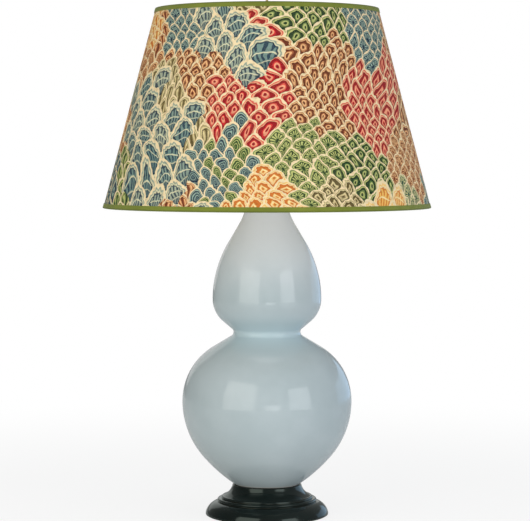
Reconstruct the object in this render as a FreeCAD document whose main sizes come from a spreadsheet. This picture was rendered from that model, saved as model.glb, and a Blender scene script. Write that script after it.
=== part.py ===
# Double gourd table lamp, in millimetres.
#
# A glazed ceramic body in the shape of a double gourd stands on a moulded metal foot. A threaded
# pipe runs up its middle and clamps foot, gourd, neck cap, neck column, harp saddle and lamp
# holder together. The harp carries a cone-shaped fabric shade on its swivelling stud, and a
# finial holds the shade down.
#
# The origin is the middle of the underside, +Z is up and -Y is the front. The harp lies in the
# XZ plane, the switch points to the front and the cord outlet is at the back of the foot.

import FreeCAD, Part
import math
import os
import Sketcher
from FreeCAD import Placement, Rotation, Vector

# Driving dimensions. Heights are measured from the surface that the lamp stands on.
SIZES = {
    # Felt and foot
    "felt_thickness": (1.5, "felt pad under the foot"),
    "felt_radius": (88.3, "felt pad"),
    "foot_radius": (90.6, "widest part of the foot"),
    "foot_wall": (3.0, "thickness of the cast foot"),
    "foot_edge": (0.9, "rounded lower edge of the foot"),
    "ovolo_radius": (22.5, "quarter-round moulding of the foot"),
    "ovolo_height": (4.2, "where the quarter-round turns vertical"),
    "ovolo_top_radius": (74.4, "upper edge of the quarter-round"),
    "ovolo_top": (21.0, "upper edge of the quarter-round"),
    "bead_radius": (72.6, "lower bead, at its foot"),
    "bead_top_radius": (71.0, "lower bead, at its top"),
    "bead_top": (26.0, "height of the lower bead's top"),
    "bead_round": (2.6, "roundness of both beads"),
    "fillet_radius": (67.2, "upper bead, at its foot"),
    "fillet_top_radius": (65.6, "upper bead, at its top"),
    "fillet_top": (29.6, "height of the upper bead's top"),
    "step_rise": (0.8, "upright step between the mouldings"),
    "cavetto_radius": (22.0, "hollow moulding of the foot"),
    "cavetto_foot_radius": (64.6, "where the hollow moulding starts"),
    "seat_radius": (51.0, "top of the foot"),
    "seat_height": (46.0, "top of the foot"),
    "deck_thickness": (4.0, "plate that closes the top of the foot"),
    "outlet_height": (8.6, "middle of the cord outlet"),
    "outlet_face": (85.2, "flat that the cord bushing seats on"),
    "outlet_bore": (3.2, "hole for the cord, radius"),
    "bushing_radius": (4.4, "barrel of the cord bushing"),
    "bushing_flange": (5.4, "flange of the cord bushing, radius"),
    "bushing_flange_thickness": (1.6, "flange of the cord bushing"),
    "bushing_inner_end": (78.0, "inner end of the cord bushing, from the middle of the lamp"),
    "boss_radius": (7.0, "boss inside the foot around the cord outlet"),
    # Clamping hardware
    "pipe_radius": (4.9, "threaded lamp pipe, outside"),
    "pipe_bore": (3.3, "threaded lamp pipe, inside radius"),
    "pipe_bottom": (31.0, "lower end of the pipe"),
    "pipe_top": (513.5, "upper end of the pipe"),
    "pipe_clearance": (5.1, "clearance hole for the pipe, radius"),
    "nut_bore": (4.95, "tapped hole that takes the pipe, radius"),
    "nut_flats": (14.3, "hexagon nut, across the flats"),
    "nut_thickness": (5.0, "bottom nut"),
    "neck_nut_thickness": (3.5, "nut under the harp saddle"),
    "clamp_radius": (23.0, "clamp plate under the deck"),
    "clamp_thickness": (1.5, "clamp plate"),
    "star_radius": (8.6, "toothed lock washer"),
    "star_thickness": (1.1, "toothed lock washer"),
    "star_teeth": (12, "teeth of the lock washer"),
    "gasket_thickness": (1.0, "rubber seat under the gourd, and gasket on its neck"),
    "gasket_radius": (47.6, "rubber seat, outside"),
    "gasket_collar": (15.7, "collar of the rubber seat, which centres the gourd"),
    "gasket_collar_height": (6.0, "collar of the rubber seat"),
    # Ceramic gourd: circles of its profile, each given by its radius and where it is widest
    "ceramic_wall": (6.0, "thickness of the ceramic"),
    "ceramic_floor": (7.0, "thickness of the ceramic floor"),
    "ceramic_hole": (16.0, "hole in the ceramic floor, radius"),
    "bowl_foot_radius": (48.5, "lower edge of the gourd"),
    "bowl_radius": (240.0, "flat curve from the foot to the belly"),
    "belly_width": (124.8, "greatest radius of the belly, which is round below that line"),
    "belly_height": (169.7, "height of the widest line of the belly"),
    "shoulder_radius": (92.8, "curve above the widest line of the belly"),
    "waist_width": (49.3, "radius at the waist"),
    "waist_height": (271.4, "height of the waist"),
    "waist_radius": (6.4, "curve of the waist"),
    "bulb_low_radius": (42.7, "curve below the widest line of the upper gourd"),
    "upper_width": (80.0, "greatest radius of the upper gourd"),
    "upper_height": (320.2, "height of the widest line of the upper gourd"),
    "taper_radius": (163.0, "curve above the widest line of the upper gourd"),
    "neck_width": (29.0, "radius of the ceramic neck"),
    "neck_height": (474.0, "top of the ceramic neck"),
    "neck_radius": (84.0, "hollow curve that runs into the neck"),
    # Neck cap and neck column
    "cap_skirt": (30.9, "neck cap, outside radius of its skirt"),
    "cap_skirt_gap": (0.3, "gap between the skirt and the ceramic"),
    "cap_skirt_drop": (1.5, "how far the skirt reaches down over the ceramic"),
    "cap_wall": (2.0, "thickness of the neck cap"),
    "cap_top_radius": (12.6, "flat top of the neck cap"),
    "cap_top": (487.0, "top of the neck cap"),
    "cap_curve": (24.0, "hollow curve of the neck cap"),
    "column_foot": (11.4, "neck column, lower flange"),
    "column_waist": (7.2, "neck column, slimmest"),
    "column_head": (9.6, "neck column, upper flange"),
    "column_top": (499.5, "top of the neck column"),
    "column_flange": (1.4, "edge of the column's flanges"),
    # Harp saddle, sleeves and harp
    "saddle_bottom": (503.0, "underside of the harp saddle"),
    "saddle_thickness": (1.6, "metal of the harp saddle"),
    "saddle_hub": (9.5, "round middle of the saddle, radius"),
    "saddle_arm": (8.0, "width of the saddle's arms"),
    "saddle_bend": (3.0, "inside bend of the saddle's arms"),
    "ear_inside": (29.3, "inner face of the saddle's ears"),
    "ear_width": (4.8, "width of the saddle's ears"),
    "ear_shoulder": (509.0, "where the arms narrow into ears"),
    "ear_top": (521.0, "top of the ears"),
    "sleeve_length": (14.0, "locking sleeve"),
    "sleeve_bore": (3.9, "locking sleeve, inside radius"),
    "sleeve_radius": (4.8, "locking sleeve, outside radius"),
    "sleeve_offset": (28.2, "middle of a locking sleeve, from the middle of the lamp"),
    "wire_radius": (1.8, "harp wire"),
    "leg_offset": (27.2, "harp leg at the saddle, from the middle of the lamp"),
    "leg_bottom": (507.0, "lower end of the harp's legs"),
    "harp_bend_height": (529.0, "where the harp's legs bend outwards"),
    "harp_bend": (16.0, "outward bend of the legs"),
    "harp_width": (53.0, "widest part of the harp, half"),
    "harp_wide_height": (590.0, "height of the widest part of the harp"),
    "harp_lower_curve": (46.0, "return bend below the widest part"),
    "harp_side_curve": (330.0, "gentle curve of the harp's sides"),
    "harp_shoulder": (30.0, "bend of the harp's shoulders"),
    "harp_shoulder_offset": (16.0, "middle of the shoulder bend"),
    "harp_top_end": (7.6, "where the round wire runs into the flat tab"),
    "tab_radius": (8.6, "flat tab at the top of the harp"),
    "tab_thickness": (2.2, "flat tab at the top of the harp"),
    "tab_bottom": (727.4, "underside of the tab"),
    "stud_shank": (2.5, "riveted shank of the stud"),
    "stud_clearance": (0.05, "running clearance of the shank in the tab"),
    "stud_head": (4.4, "rivet head under the tab, radius"),
    "stud_head_height": (1.4, "rivet head under the tab"),
    "stud_flange": (7.0, "flange that the shade rests on"),
    "stud_thread": (3.17, "threaded post of the stud, radius"),
    "stud_post": (12.0, "height of the threaded post"),
    # Lamp holder
    "holder_bottom": (504.6, "underside of the lamp holder's cap"),
    "holder_collar": (7.2, "collar of the holder cap"),
    "holder_collar_top": (511.0, "where the holder cap flares out"),
    "holder_cup": (16.9, "cup of the holder cap, outside"),
    "holder_cup_rise": (519.5, "where the cup turns upright"),
    "holder_cup_top": (524.0, "rim of the holder cap"),
    "holder_sheet": (0.6, "sheet metal of the holder cap"),
    "shell_radius": (16.2, "holder shell, outside"),
    "shell_sheet": (0.4, "sheet metal of the holder shell"),
    "shell_bottom": (520.2, "lower edge of the holder shell"),
    "shell_top": (566.0, "mouth of the holder shell"),
    "shell_bead": (0.6, "how far the beads stand out of the shell"),
    "liner_radius": (15.7, "insulating liner, outside"),
    "liner_sheet": (0.6, "insulating liner"),
    "liner_top": (567.5, "upper edge of the insulating liner"),
    "core_radius": (14.6, "insulating core"),
    "core_bottom": (517.0, "insulating core"),
    "core_top": (537.0, "insulating core"),
    "core_flat": (11.6, "flats for the terminals, from the middle"),
    "screw_shell_radius": (13.9, "screw shell, outside"),
    "screw_shell_bore": (13.4, "screw shell, inside radius"),
    "screw_shell_top": (562.5, "upper edge of the screw shell"),
    "contact_radius": (3.4, "centre contact"),
    "contact_top": (538.4, "centre contact"),
    "terminal_height": (523.0, "terminal screws"),
    "terminal_head": (3.1, "terminal screw head, radius"),
    "terminal_shank": (1.5, "terminal screw shank, radius"),
    "set_screw_height": (507.8, "screw in the collar of the holder cap"),
    # Switch
    "switch_height": (531.5, "axis of the switch"),
    "stem_radius": (1.6, "switch stem"),
    "stem_clearance": (0.05, "running clearance of the stem"),
    "stem_inner_end": (4.0, "inner end of the stem, from the middle of the lamp"),
    "stem_outer_end": (30.0, "outer end of the stem, from the middle of the lamp"),
    "knob_radius": (6.0, "switch knob"),
    "knob_inner_end": (20.0, "inner end of the knob, from the middle of the lamp"),
    "knob_length": (16.0, "switch knob"),
    "knob_flutes": (18, "flutes round the switch knob"),
    # Bulb
    "bulb_tip": (538.5, "lowest point of the bulb"),
    "bulb_cap_radius": (13.3, "screw cap of the bulb"),
    "bulb_cap_bottom": (545.0, "screw cap of the bulb"),
    "bulb_cap_top": (566.0, "screw cap of the bulb"),
    "bulb_cap_sheet": (0.35, "metal of the screw cap"),
    "bulb_neck": (12.8, "glass neck, outside radius"),
    "bulb_neck_bottom": (558.0, "lower end of the glass"),
    "bulb_neck_top": (569.0, "where the glass starts to widen"),
    "bulb_flare": (40.0, "hollow curve from neck to globe"),
    "bulb_globe": (30.0, "globe of the bulb, radius"),
    "bulb_globe_height": (616.0, "middle of the globe"),
    "bulb_glass": (0.8, "thickness of the glass"),
    # Shade: the bare cone, to which the trims add their thickness
    "shade_bottom_radius": (240.0, "lower edge of the fabric"),
    "shade_top_radius": (162.8, "upper edge of the fabric"),
    "shade_bottom": (455.2, "lower edge of the fabric"),
    "shade_top": (744.7, "upper edge of the fabric"),
    "fabric_thickness": (0.8, "fabric, measured level"),
    "backing_thickness": (0.6, "stiff backing, measured level"),
    "trim_thickness": (0.8, "folded tape"),
    "trim_height": (6.5, "how far the tape covers the outside"),
    "trim_return": (5.6, "how far the tape covers the inside"),
    "ring_radius": (1.6, "wire of the shade's rings"),
    "ring_inset": (2.1, "middle of a ring, from the edge of the fabric"),
    "ring_gap": (0.1, "glue line beside a ring"),
    "hub_radius": (11.0, "washer in the middle of the shade's frame"),
    "hub_bore": (3.35, "hole of that washer, radius"),
    "hub_thickness": (1.6, "washer"),
    "hub_bottom": (731.6, "where the shade rests on the stud"),
    "spoke_radius": (1.4, "wire of the three spokes"),
    "spoke_start": (8.0, "inner end of a spoke, inside the washer"),
    # Finial
    "finial_bore": (3.24, "tapped hole of the finial, radius"),
    "finial_foot": (7.6, "brass foot of the finial, radius"),
    "finial_foot_top": (738.2, "top of the brass foot"),
    "finial_bore_top": (745.5, "end of the tapped hole"),
    "finial_ball": (7.5, "turned ball of the finial, radius"),
    "finial_ball_height": (748.0, "middle of the turned ball"),
    "finial_tip": (2.2, "button on top of the ball, radius"),
    "finial_top": (758.4, "tip of the finial"),
}


class Size:
    """A length with the sheet expression that it comes from, so that it can drive a constraint."""

    def __init__(self, value, text):
        self.value = float(value)
        self.text = text

    def joined(self, other, sign, work):
        other = size(other)
        return Size(work(self.value, other.value), f"({self.text} {sign} {other.text})")

    def __add__(self, other):
        return self.joined(other, "+", lambda a, b: a + b)

    def __sub__(self, other):
        return self.joined(other, "-", lambda a, b: a - b)

    def __mul__(self, other):
        return self.joined(other, "*", lambda a, b: a * b)

    def __truediv__(self, other):
        return self.joined(other, "/", lambda a, b: a / b)

    def __rmul__(self, other):
        return size(other) * self

    def __neg__(self):
        return size(0) - self


def size(value):
    """The value as a Size."""
    return value if isinstance(value, Size) else Size(value, f"{value:g}")


class Sheet:
    """The spreadsheet of driving dimensions. Each alias reads as an attribute that is a Size."""

    def __init__(self, document, sizes):
        sheet = document.addObject("Spreadsheet::Sheet", "Dims")
        for row, (alias, (value, note)) in enumerate(sizes.items(), 1):
            sheet.set(f"A{row}", alias)
            sheet.set(f"B{row}", f"{value:g}")
            sheet.set(f"C{row}", note)
            sheet.setAlias(f"B{row}", alias)
        document.recompute()
        for alias in sizes:
            setattr(self, alias, Size(sheet.get(alias), f"Dims.{alias}"))


doc = FreeCAD.newDocument("double_gourd_lamp")
S = Sheet(doc, SIZES)
sub_parts = []


# ---------------------------------------------------------------- sketches


class Bow:
    """Between two corners of an outline: the edge is an arc. An outline runs with its material on
    the left, so a bulging arc turns left (turn is +1) and a hollow one turns right (turn is -1)."""

    def __init__(self, radius, turn):
        self.radius = size(radius)
        self.turn = turn


def bulge(radius):
    return Bow(radius, 1)


def hollow(radius):
    return Bow(radius, -1)


def dome(width, rise):
    """The bulging arc of a dome that is centred on the axis, from its rim to its top."""
    width, rise = size(width), size(rise)
    return bulge((width * width + rise * rise) / (rise * 2))


class Edge:
    """An edge of a sketch: its geometry number, and which of its ends it starts and finishes with."""

    def __init__(self, geometry, start, end):
        self.geometry = geometry
        self.start = start
        self.end = end


def add_line(sketch, first, last):
    line = Part.LineSegment(Vector(*first, 0), Vector(*last, 0))
    return Edge(sketch.addGeometry(line, False), 1, 2)


def add_arc(sketch, centre, radius, first, last, turn):
    """The arc round centre from point first to point last, turning left where turn is +1."""
    circle = Part.Circle(Vector(*centre, 0), Vector(0, 0, 1), radius)
    angles = [math.atan2(p[1] - centre[1], p[0] - centre[0]) for p in (first, last)]
    if turn < 0:
        angles.reverse()
    number = sketch.addGeometry(Part.ArcOfCircle(circle, *angles), False)
    return Edge(number, 1, 2) if turn > 0 else Edge(number, 2, 1)


def drive(sketch, constraint, value):
    """Adds a constraint whose datum follows the sheet."""
    number = sketch.addConstraint(constraint)
    sketch.setExpression(f"Constraints[{number}]", value.text)


def pin(sketch, geometry, end, x=None, y=None):
    """Holds an end or a centre at a distance from the sketch's origin, along x, y or both."""
    for kind, axis, value in (("DistanceX", -2, x), ("DistanceY", -1, y)):
        if value is None:
            continue
        value = size(value)
        if value.value == 0:
            sketch.addConstraint(Sketcher.Constraint("PointOnObject", geometry, end, axis))
        else:
            datum = Sketcher.Constraint(kind, -1, 1, geometry, end, value.value)
            drive(sketch, datum, value)


def set_radius(sketch, geometry, value):
    drive(sketch, Sketcher.Constraint("Radius", geometry, value.value), value)


def join(sketch, before, after, kind="Coincident"):
    """The end of one edge meets the start of the next, as a corner or as a smooth Tangent joint."""
    ends = (before.geometry, before.end, after.geometry, after.start)
    sketch.addConstraint(Sketcher.Constraint(kind, *ends))


def bow_centre(first, last, bow):
    """Where the centre of a bow between two points lies."""
    chord = Vector(*last, 0) - Vector(*first, 0)
    height = math.sqrt(bow.radius.value**2 - (chord.Length / 2) ** 2)
    left = Vector(-chord.y, chord.x, 0).normalize()
    centre = Vector(*first, 0) + chord / 2 + left * (height * bow.turn)
    return centre.x, centre.y


def draw_outline(sketch, items):
    """A closed outline, fully constrained: corners as (x, y), with a Bow after each corner that an
    arc leaves from."""
    corners = [item for item in items if not isinstance(item, Bow)]
    bows = {}
    for i, item in enumerate(items):
        if isinstance(item, Bow):
            bows[len([c for c in items[:i] if not isinstance(c, Bow)]) - 1] = item
    places = [(size(x).value, size(y).value) for x, y in corners]
    edges = []
    for i, first in enumerate(places):
        last = places[(i + 1) % len(places)]
        bow = bows.get(i)
        if bow is None:
            edges.append(add_line(sketch, first, last))
        else:
            centre = bow_centre(first, last, bow)
            edges.append(add_arc(sketch, centre, bow.radius.value, first, last, bow.turn))
    for i, edge in enumerate(edges):
        join(sketch, edge, edges[(i + 1) % len(edges)])
        pin(sketch, edge.geometry, edge.start, *corners[i])
        if i in bows:
            set_radius(sketch, edge.geometry, bows[i].radius)


def draw_circle(sketch, x, y, radius):
    x, y, radius = size(x), size(y), size(radius)
    circle = Part.Circle(Vector(x.value, y.value, 0), Vector(0, 0, 1), radius.value)
    number = sketch.addGeometry(circle, False)
    pin(sketch, number, 3, x, y)
    set_radius(sketch, number, radius)


def draw_box(sketch, left, right, low, high):
    draw_outline(sketch, [(left, low), (right, low), (right, high), (left, high)])


class Round:
    """A circle that a smooth curve follows for a while: its centre, its radius and its turn."""

    def __init__(self, x, y, radius, turn):
        self.x, self.y, self.radius = size(x), size(y), size(radius)
        self.turn = turn
        self.centre = (self.x.value, self.y.value)

    def at(self, degrees):
        angle = math.radians(degrees)
        reach = self.radius.value
        return self.centre[0] + reach * math.cos(angle), self.centre[1] + reach * math.sin(angle)


def widest(width, height, radius):
    """The circle of that radius whose widest point is at that width and height."""
    return Round(size(width) - radius, height, radius, 1)


def narrowest(width, height, radius):
    """The circle of that radius that hollows a curve out to that width at that height."""
    return Round(size(width) + radius, height, radius, -1)


def tangent_line(a, b):
    """The two ends of the straight line that leaves circle a and runs smoothly into circle b."""
    reach = Vector(b.centre[0] - a.centre[0], b.centre[1] - a.centre[1], 0)
    lean = (b.turn * b.radius.value - a.turn * a.radius.value) / reach.Length
    angle = math.atan2(reach.y, reach.x) + math.acos(lean)
    left = (math.cos(angle), math.sin(angle))
    return [
        tuple(c - r.turn * r.radius.value * n for c, n in zip(r.centre, left)) for r in (a, b)
    ]


def draw_chain(sketch, rounds, start, end):
    """A smooth open curve through the circles, from the place start on the first to the place end
    on the last. Where two circles in a row share their widest point they meet there, and
    otherwise a straight line joins them. Returns the edges in order."""
    meets = [
        a.turn == b.turn and a.y.text == b.y.text for a, b in zip(rounds, rounds[1:])
    ]
    joints = []
    for a, b, meet in zip(rounds, rounds[1:], meets):
        joints.append([a.at(0), b.at(0)] if meet else tangent_line(a, b))
    firsts = [start] + [j[1] for j in joints]
    lasts = [j[0] for j in joints] + [end]
    edges, before = [], None
    for i, (r, first, last) in enumerate(zip(rounds, firsts, lasts)):
        arc = add_arc(sketch, r.centre, r.radius.value, first, last, r.turn)
        set_radius(sketch, arc.geometry, r.radius)
        if i and meets[i - 1]:
            pin(sketch, before.geometry, before.end, y=r.y)
            pin(sketch, arc.geometry, 3, y=r.y)
            join(sketch, before, arc)
        else:
            pin(sketch, arc.geometry, 3, r.x, r.y)
            if i:
                line = add_line(sketch, *joints[i - 1])
                join(sketch, before, line, "Tangent")
                join(sketch, line, arc, "Tangent")
                edges.append(line)
        edges.append(arc)
        before = arc
    return edges


# ---------------------------------------------------------------- bodies and features


def new_body(label):
    body = doc.addObject("PartDesign::Body", "Body_" + label)
    body.Label = label
    sub_parts.append(body)
    return body


def origin_feature(body, role):
    return [f for f in body.Origin.OriginFeatures if f.Role == role][0]


def new_sketch(body, name, plane="XZ_Plane", offset=None):
    """A sketch on one of the body's own origin planes, moved along the plane's normal by offset.
    XZ_Plane draws width across and height up, and its normal is -Y."""
    sketch = body.newObject("Sketcher::SketchObject", f"{body.Label}_{name}")
    sketch.AttachmentSupport = [(origin_feature(body, plane), "")]
    sketch.MapMode = "FlatFace"
    if offset is not None:
        offset = size(offset)
        sketch.AttachmentOffset = Placement(Vector(0, 0, offset.value), Rotation())
        sketch.setExpression("AttachmentOffset.Base.z", offset.text)
    return sketch


def feature(body, kind, name, profile, **settings):
    made = body.newObject("PartDesign::" + kind, f"{body.Label}_{name}")
    made.Profile = profile
    for key, value in settings.items():
        if isinstance(value, Size):
            made.setExpression(key, value.text)
        else:
            setattr(made, key, value)
    profile.Visibility = False
    return made


def volume_after(body):
    doc.recompute()
    return body.Shape.Volume


def revolve(body, sketch, name="turned"):
    return feature(body, "Revolution", name, sketch, ReferenceAxis=(sketch, ["V_Axis"]), Angle=360)


def pad(body, sketch, length, name="pad", middle=False, backwards=False):
    return feature(
        body, "Pad", name, sketch, Length=size(length), Midplane=middle, Reversed=backwards
    )


def pocket(body, sketch, name="cut", middle=False, backwards=False, depth=None):
    """Cuts the sketch's outline out of the body, right through or to a depth, and makes sure that
    the cut took something away."""
    before = volume_after(body)
    settings = {"Midplane": middle, "Reversed": backwards}
    if depth is None:
        settings["Type"] = "ThroughAll"
    else:
        settings["Length"] = size(depth)
    made = feature(body, "Pocket", name, sketch, **settings)
    if not volume_after(body) < before - 0.01:
        raise RuntimeError(f"{made.Name} of {body.Label} cuts nothing away")
    return made


def repeat_round(body, original, count, name="pattern"):
    """Repeats a feature round the body's own Z axis."""
    pattern = body.newObject("PartDesign::PolarPattern", f"{body.Label}_{name}")
    pattern.Originals = [original]
    pattern.Axis = (origin_feature(body, "Z_Axis"), [""])
    pattern.Angle = 360
    pattern.setExpression("Occurrences", size(count).text)
    body.Tip = pattern
    return pattern


def mirror(body, originals, plane="YZ_Plane", name="mirrored"):
    made = body.newObject("PartDesign::Mirrored", f"{body.Label}_{name}")
    made.Originals = originals
    made.MirrorPlane = (origin_feature(body, plane), [""])
    body.Tip = made
    return made


def turned(label, items):
    """A sub-part turned about the Z axis from a closed outline of width and height."""
    body = new_body(label)
    sketch = new_sketch(body, "profile")
    draw_outline(sketch, items)
    revolve(body, sketch)
    return body


def ring(label, inner, outer, low, high):
    """A plain turned ring or tube."""
    return turned(label, [(inner, low), (outer, low), (outer, high), (inner, high)])


def drill(body, x, y, radius, name, plane="XY_Plane", offset=None, **how):
    """A round hole square to one of the body's origin planes."""
    sketch = new_sketch(body, name + "_sketch", plane, offset)
    draw_circle(sketch, x, y, radius)
    return pocket(body, sketch, name, **how)


def place(body, rotation, x=0, y=0, z=0):
    """Puts a body that was drawn at the origin in its place, by the sheet."""
    base = [size(v) for v in (x, y, z)]
    body.Placement = Placement(Vector(*[v.value for v in base]), rotation)
    for axis, value in zip("xyz", base):
        body.setExpression(f"Placement.Base.{axis}", value.text)


TO_BACK = Rotation(Vector(1, 0, 0), -90)
TO_FRONT = Rotation(Vector(1, 0, 0), 90)
TO_RIGHT = Rotation(Vector(0, 1, 0), 90)


# ---------------------------------------------------------------- foot


def make_foot():
    """Cast foot with an open underside: quarter-round, two beads and a hollow moulding under the
    seat, and a flat plate that the pipe clamps."""
    wall = S.foot_wall
    plate = S.seat_height - S.deck_thickness
    body = turned(
        "foot",
        [
            (S.foot_radius - wall, S.felt_thickness),
            (S.foot_radius - S.foot_edge, S.felt_thickness),
            bulge(S.foot_edge),
            (S.foot_radius, S.felt_thickness + S.foot_edge),
            (S.foot_radius, S.ovolo_height),
            bulge(S.ovolo_radius),
            (S.ovolo_top_radius, S.ovolo_top),
            (S.bead_radius, S.ovolo_top),
            (S.bead_radius, S.ovolo_top + S.step_rise),
            bulge(S.bead_round),
            (S.bead_top_radius, S.bead_top),
            (S.fillet_radius, S.bead_top),
            (S.fillet_radius, S.bead_top + S.step_rise),
            bulge(S.bead_round),
            (S.fillet_top_radius, S.fillet_top),
            (S.cavetto_foot_radius, S.fillet_top),
            hollow(S.cavetto_radius),
            (S.seat_radius, S.seat_height - S.step_rise),
            bulge(S.step_rise),
            (S.seat_radius - S.step_rise, S.seat_height),
            (S.pipe_clearance, S.seat_height),
            (S.pipe_clearance, plate),
            (S.seat_radius - wall * 1.5, plate),
            bulge(S.cavetto_radius + wall),
            (S.cavetto_foot_radius - wall, S.fillet_top - wall),
            (S.bead_top_radius - wall, S.ovolo_top - 1),
            (S.ovolo_top_radius - wall, S.ovolo_top - wall),
            hollow(S.ovolo_radius - wall),
            (S.foot_radius - wall, S.ovolo_height),
        ],
    )
    boss = new_sketch(body, "boss_sketch", offset=-S.bushing_inner_end)
    draw_circle(boss, 0, S.outlet_height, S.boss_radius)
    pad(body, boss, S.outlet_face - S.bushing_inner_end - 2, "boss", backwards=True)
    drill(body, 0, S.outlet_height, S.bushing_flange, "outlet_flat", "XZ_Plane", -S.outlet_face)
    inside = -S.bushing_inner_end + 1
    drill(body, 0, S.outlet_height, S.bushing_radius, "outlet_hole", "XZ_Plane", inside)
    return body


def make_cord_bushing():
    """Flanged bushing in the back of the foot, open for the cord."""
    barrel = S.outlet_face - S.bushing_inner_end
    whole = barrel + S.bushing_flange_thickness
    edge = S.bushing_flange_thickness / 2
    body = turned(
        "cord_bushing",
        [
            (S.outlet_bore, 0),
            (S.bushing_radius, 0),
            (S.bushing_radius, barrel),
            (S.bushing_flange, barrel),
            (S.bushing_flange, barrel + edge),
            bulge(edge),
            (S.bushing_flange - edge, whole),
            (S.outlet_bore, whole),
        ],
    )
    place(body, TO_BACK, y=S.bushing_inner_end, z=S.outlet_height)


def make_clamp_plate():
    """Pressed plate with a turned-down rim, which spreads the nut's load under the foot's plate."""
    top = S.seat_height - S.deck_thickness
    thick = S.clamp_thickness
    turned(
        "clamp_plate",
        [
            (S.pipe_clearance, top - thick),
            (S.clamp_radius - thick * 2, top - thick),
            (S.clamp_radius - thick, top - thick * 3),
            (S.clamp_radius, top - thick * 3),
            (S.clamp_radius - thick, top),
            (S.pipe_clearance, top),
        ],
    )


def make_lock_washer():
    """Toothed washer between the clamp plate and the nut."""
    top = S.seat_height - S.deck_thickness - S.clamp_thickness
    body = ring("lock_washer", S.pipe_clearance, S.star_radius, top - S.star_thickness, top)
    notch = new_sketch(body, "notch_sketch", "XY_Plane", top)
    draw_circle(notch, S.star_radius, 0, S.star_radius / 8)
    repeat_round(body, pocket(body, notch, "notch"), S.star_teeth)


def make_hex_nut(label, bottom, thickness):
    """Hexagon nut with both faces chamfered round its corners."""
    corner = size(S.nut_flats) / math.sqrt(3)
    hexagon = doc.addObject("Part::Prism", label + "_hexagon")
    hexagon.Polygon = 6
    hexagon.setExpression("Circumradius", corner.text)
    hexagon.setExpression("Height", thickness.text)
    turning = doc.addObject("Part::Cylinder", label + "_turning")
    turning.setExpression("Radius", corner.text)
    turning.setExpression("Height", thickness.text)
    doc.recompute()
    rounded = doc.addObject("Part::Chamfer", label + "_chamfer")
    rounded.Base = turning
    bevel = corner.value - S.nut_flats.value / 2
    rounded.Edges = [(1, bevel / 2, bevel), (3, bevel / 2, bevel)]
    blank = doc.addObject("Part::Common", label + "_blank")
    blank.Base, blank.Tool = hexagon, rounded
    thread = doc.addObject("Part::Cylinder", label + "_hole")
    thread.setExpression("Radius", S.nut_bore.text)
    thread.setExpression("Height", thickness.text)
    nut = doc.addObject("Part::Cut", "Cut_" + label)
    nut.Base, nut.Tool = blank, thread
    nut.Label = label
    nut.setExpression("Placement.Base.z", bottom.text)
    sub_parts.append(nut)


def make_pipe():
    """Threaded lamp pipe, with its ends bevelled."""
    bevel = (S.pipe_radius - S.pipe_bore) / 2
    turned(
        "threaded_pipe",
        [
            (S.pipe_bore, S.pipe_bottom),
            (S.pipe_radius - bevel, S.pipe_bottom),
            (S.pipe_radius, S.pipe_bottom + bevel),
            (S.pipe_radius, S.pipe_top - bevel),
            (S.pipe_radius - bevel, S.pipe_top),
            (S.pipe_bore, S.pipe_top),
        ],
    )


def make_seat_gasket():
    """Rubber seat under the gourd. Its collar stands in the hole of the ceramic and centres it."""
    seat = S.seat_height
    turned(
        "seat_gasket",
        [
            (S.pipe_clearance, seat),
            (S.gasket_radius, seat),
            (S.gasket_radius, seat + S.gasket_thickness),
            (S.gasket_collar, seat + S.gasket_thickness),
            (S.gasket_collar, seat + S.gasket_collar_height),
            (S.pipe_clearance, seat + S.gasket_collar_height),
        ],
    )


# ---------------------------------------------------------------- gourd


def gourd_rounds(inset):
    """The circles of the gourd's profile from the belly to the neck, moved in by inset. The
    circles keep their centres: the bulging ones shrink by inset and the hollow ones grow."""
    return [
        widest(S.belly_width - inset, S.belly_height, S.belly_width - inset),
        widest(S.belly_width - inset, S.belly_height, S.shoulder_radius - inset),
        narrowest(S.waist_width - inset, S.waist_height, S.waist_radius + inset),
        widest(S.upper_width - inset, S.upper_height, S.bulb_low_radius - inset),
        widest(S.upper_width - inset, S.upper_height, S.taper_radius - inset),
        narrowest(S.neck_width - inset, S.neck_height, S.neck_radius + inset),
    ]


def bowl_circle(belly, foot):
    """The flat circle that runs from the edge at foot smoothly into the belly's circle. Returns
    its centre and the point where the two meet."""
    radius = S.bowl_radius.value
    to_belly = radius - belly.radius.value
    reach = Vector(foot[0] - belly.centre[0], foot[1] - belly.centre[1], 0)
    along = (to_belly**2 - radius**2 + reach.Length**2) / (2 * reach.Length)
    aside = math.sqrt(to_belly**2 - along**2)
    ahead = Vector(reach).normalize()
    left = Vector(-ahead.y, ahead.x, 0)
    base = Vector(*belly.centre, 0)
    centre = min((base + ahead * along + left * (aside * s) for s in (1, -1)), key=lambda c: c.x)
    meeting = centre + (base - centre).normalize() * radius
    return centre, meeting


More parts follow.
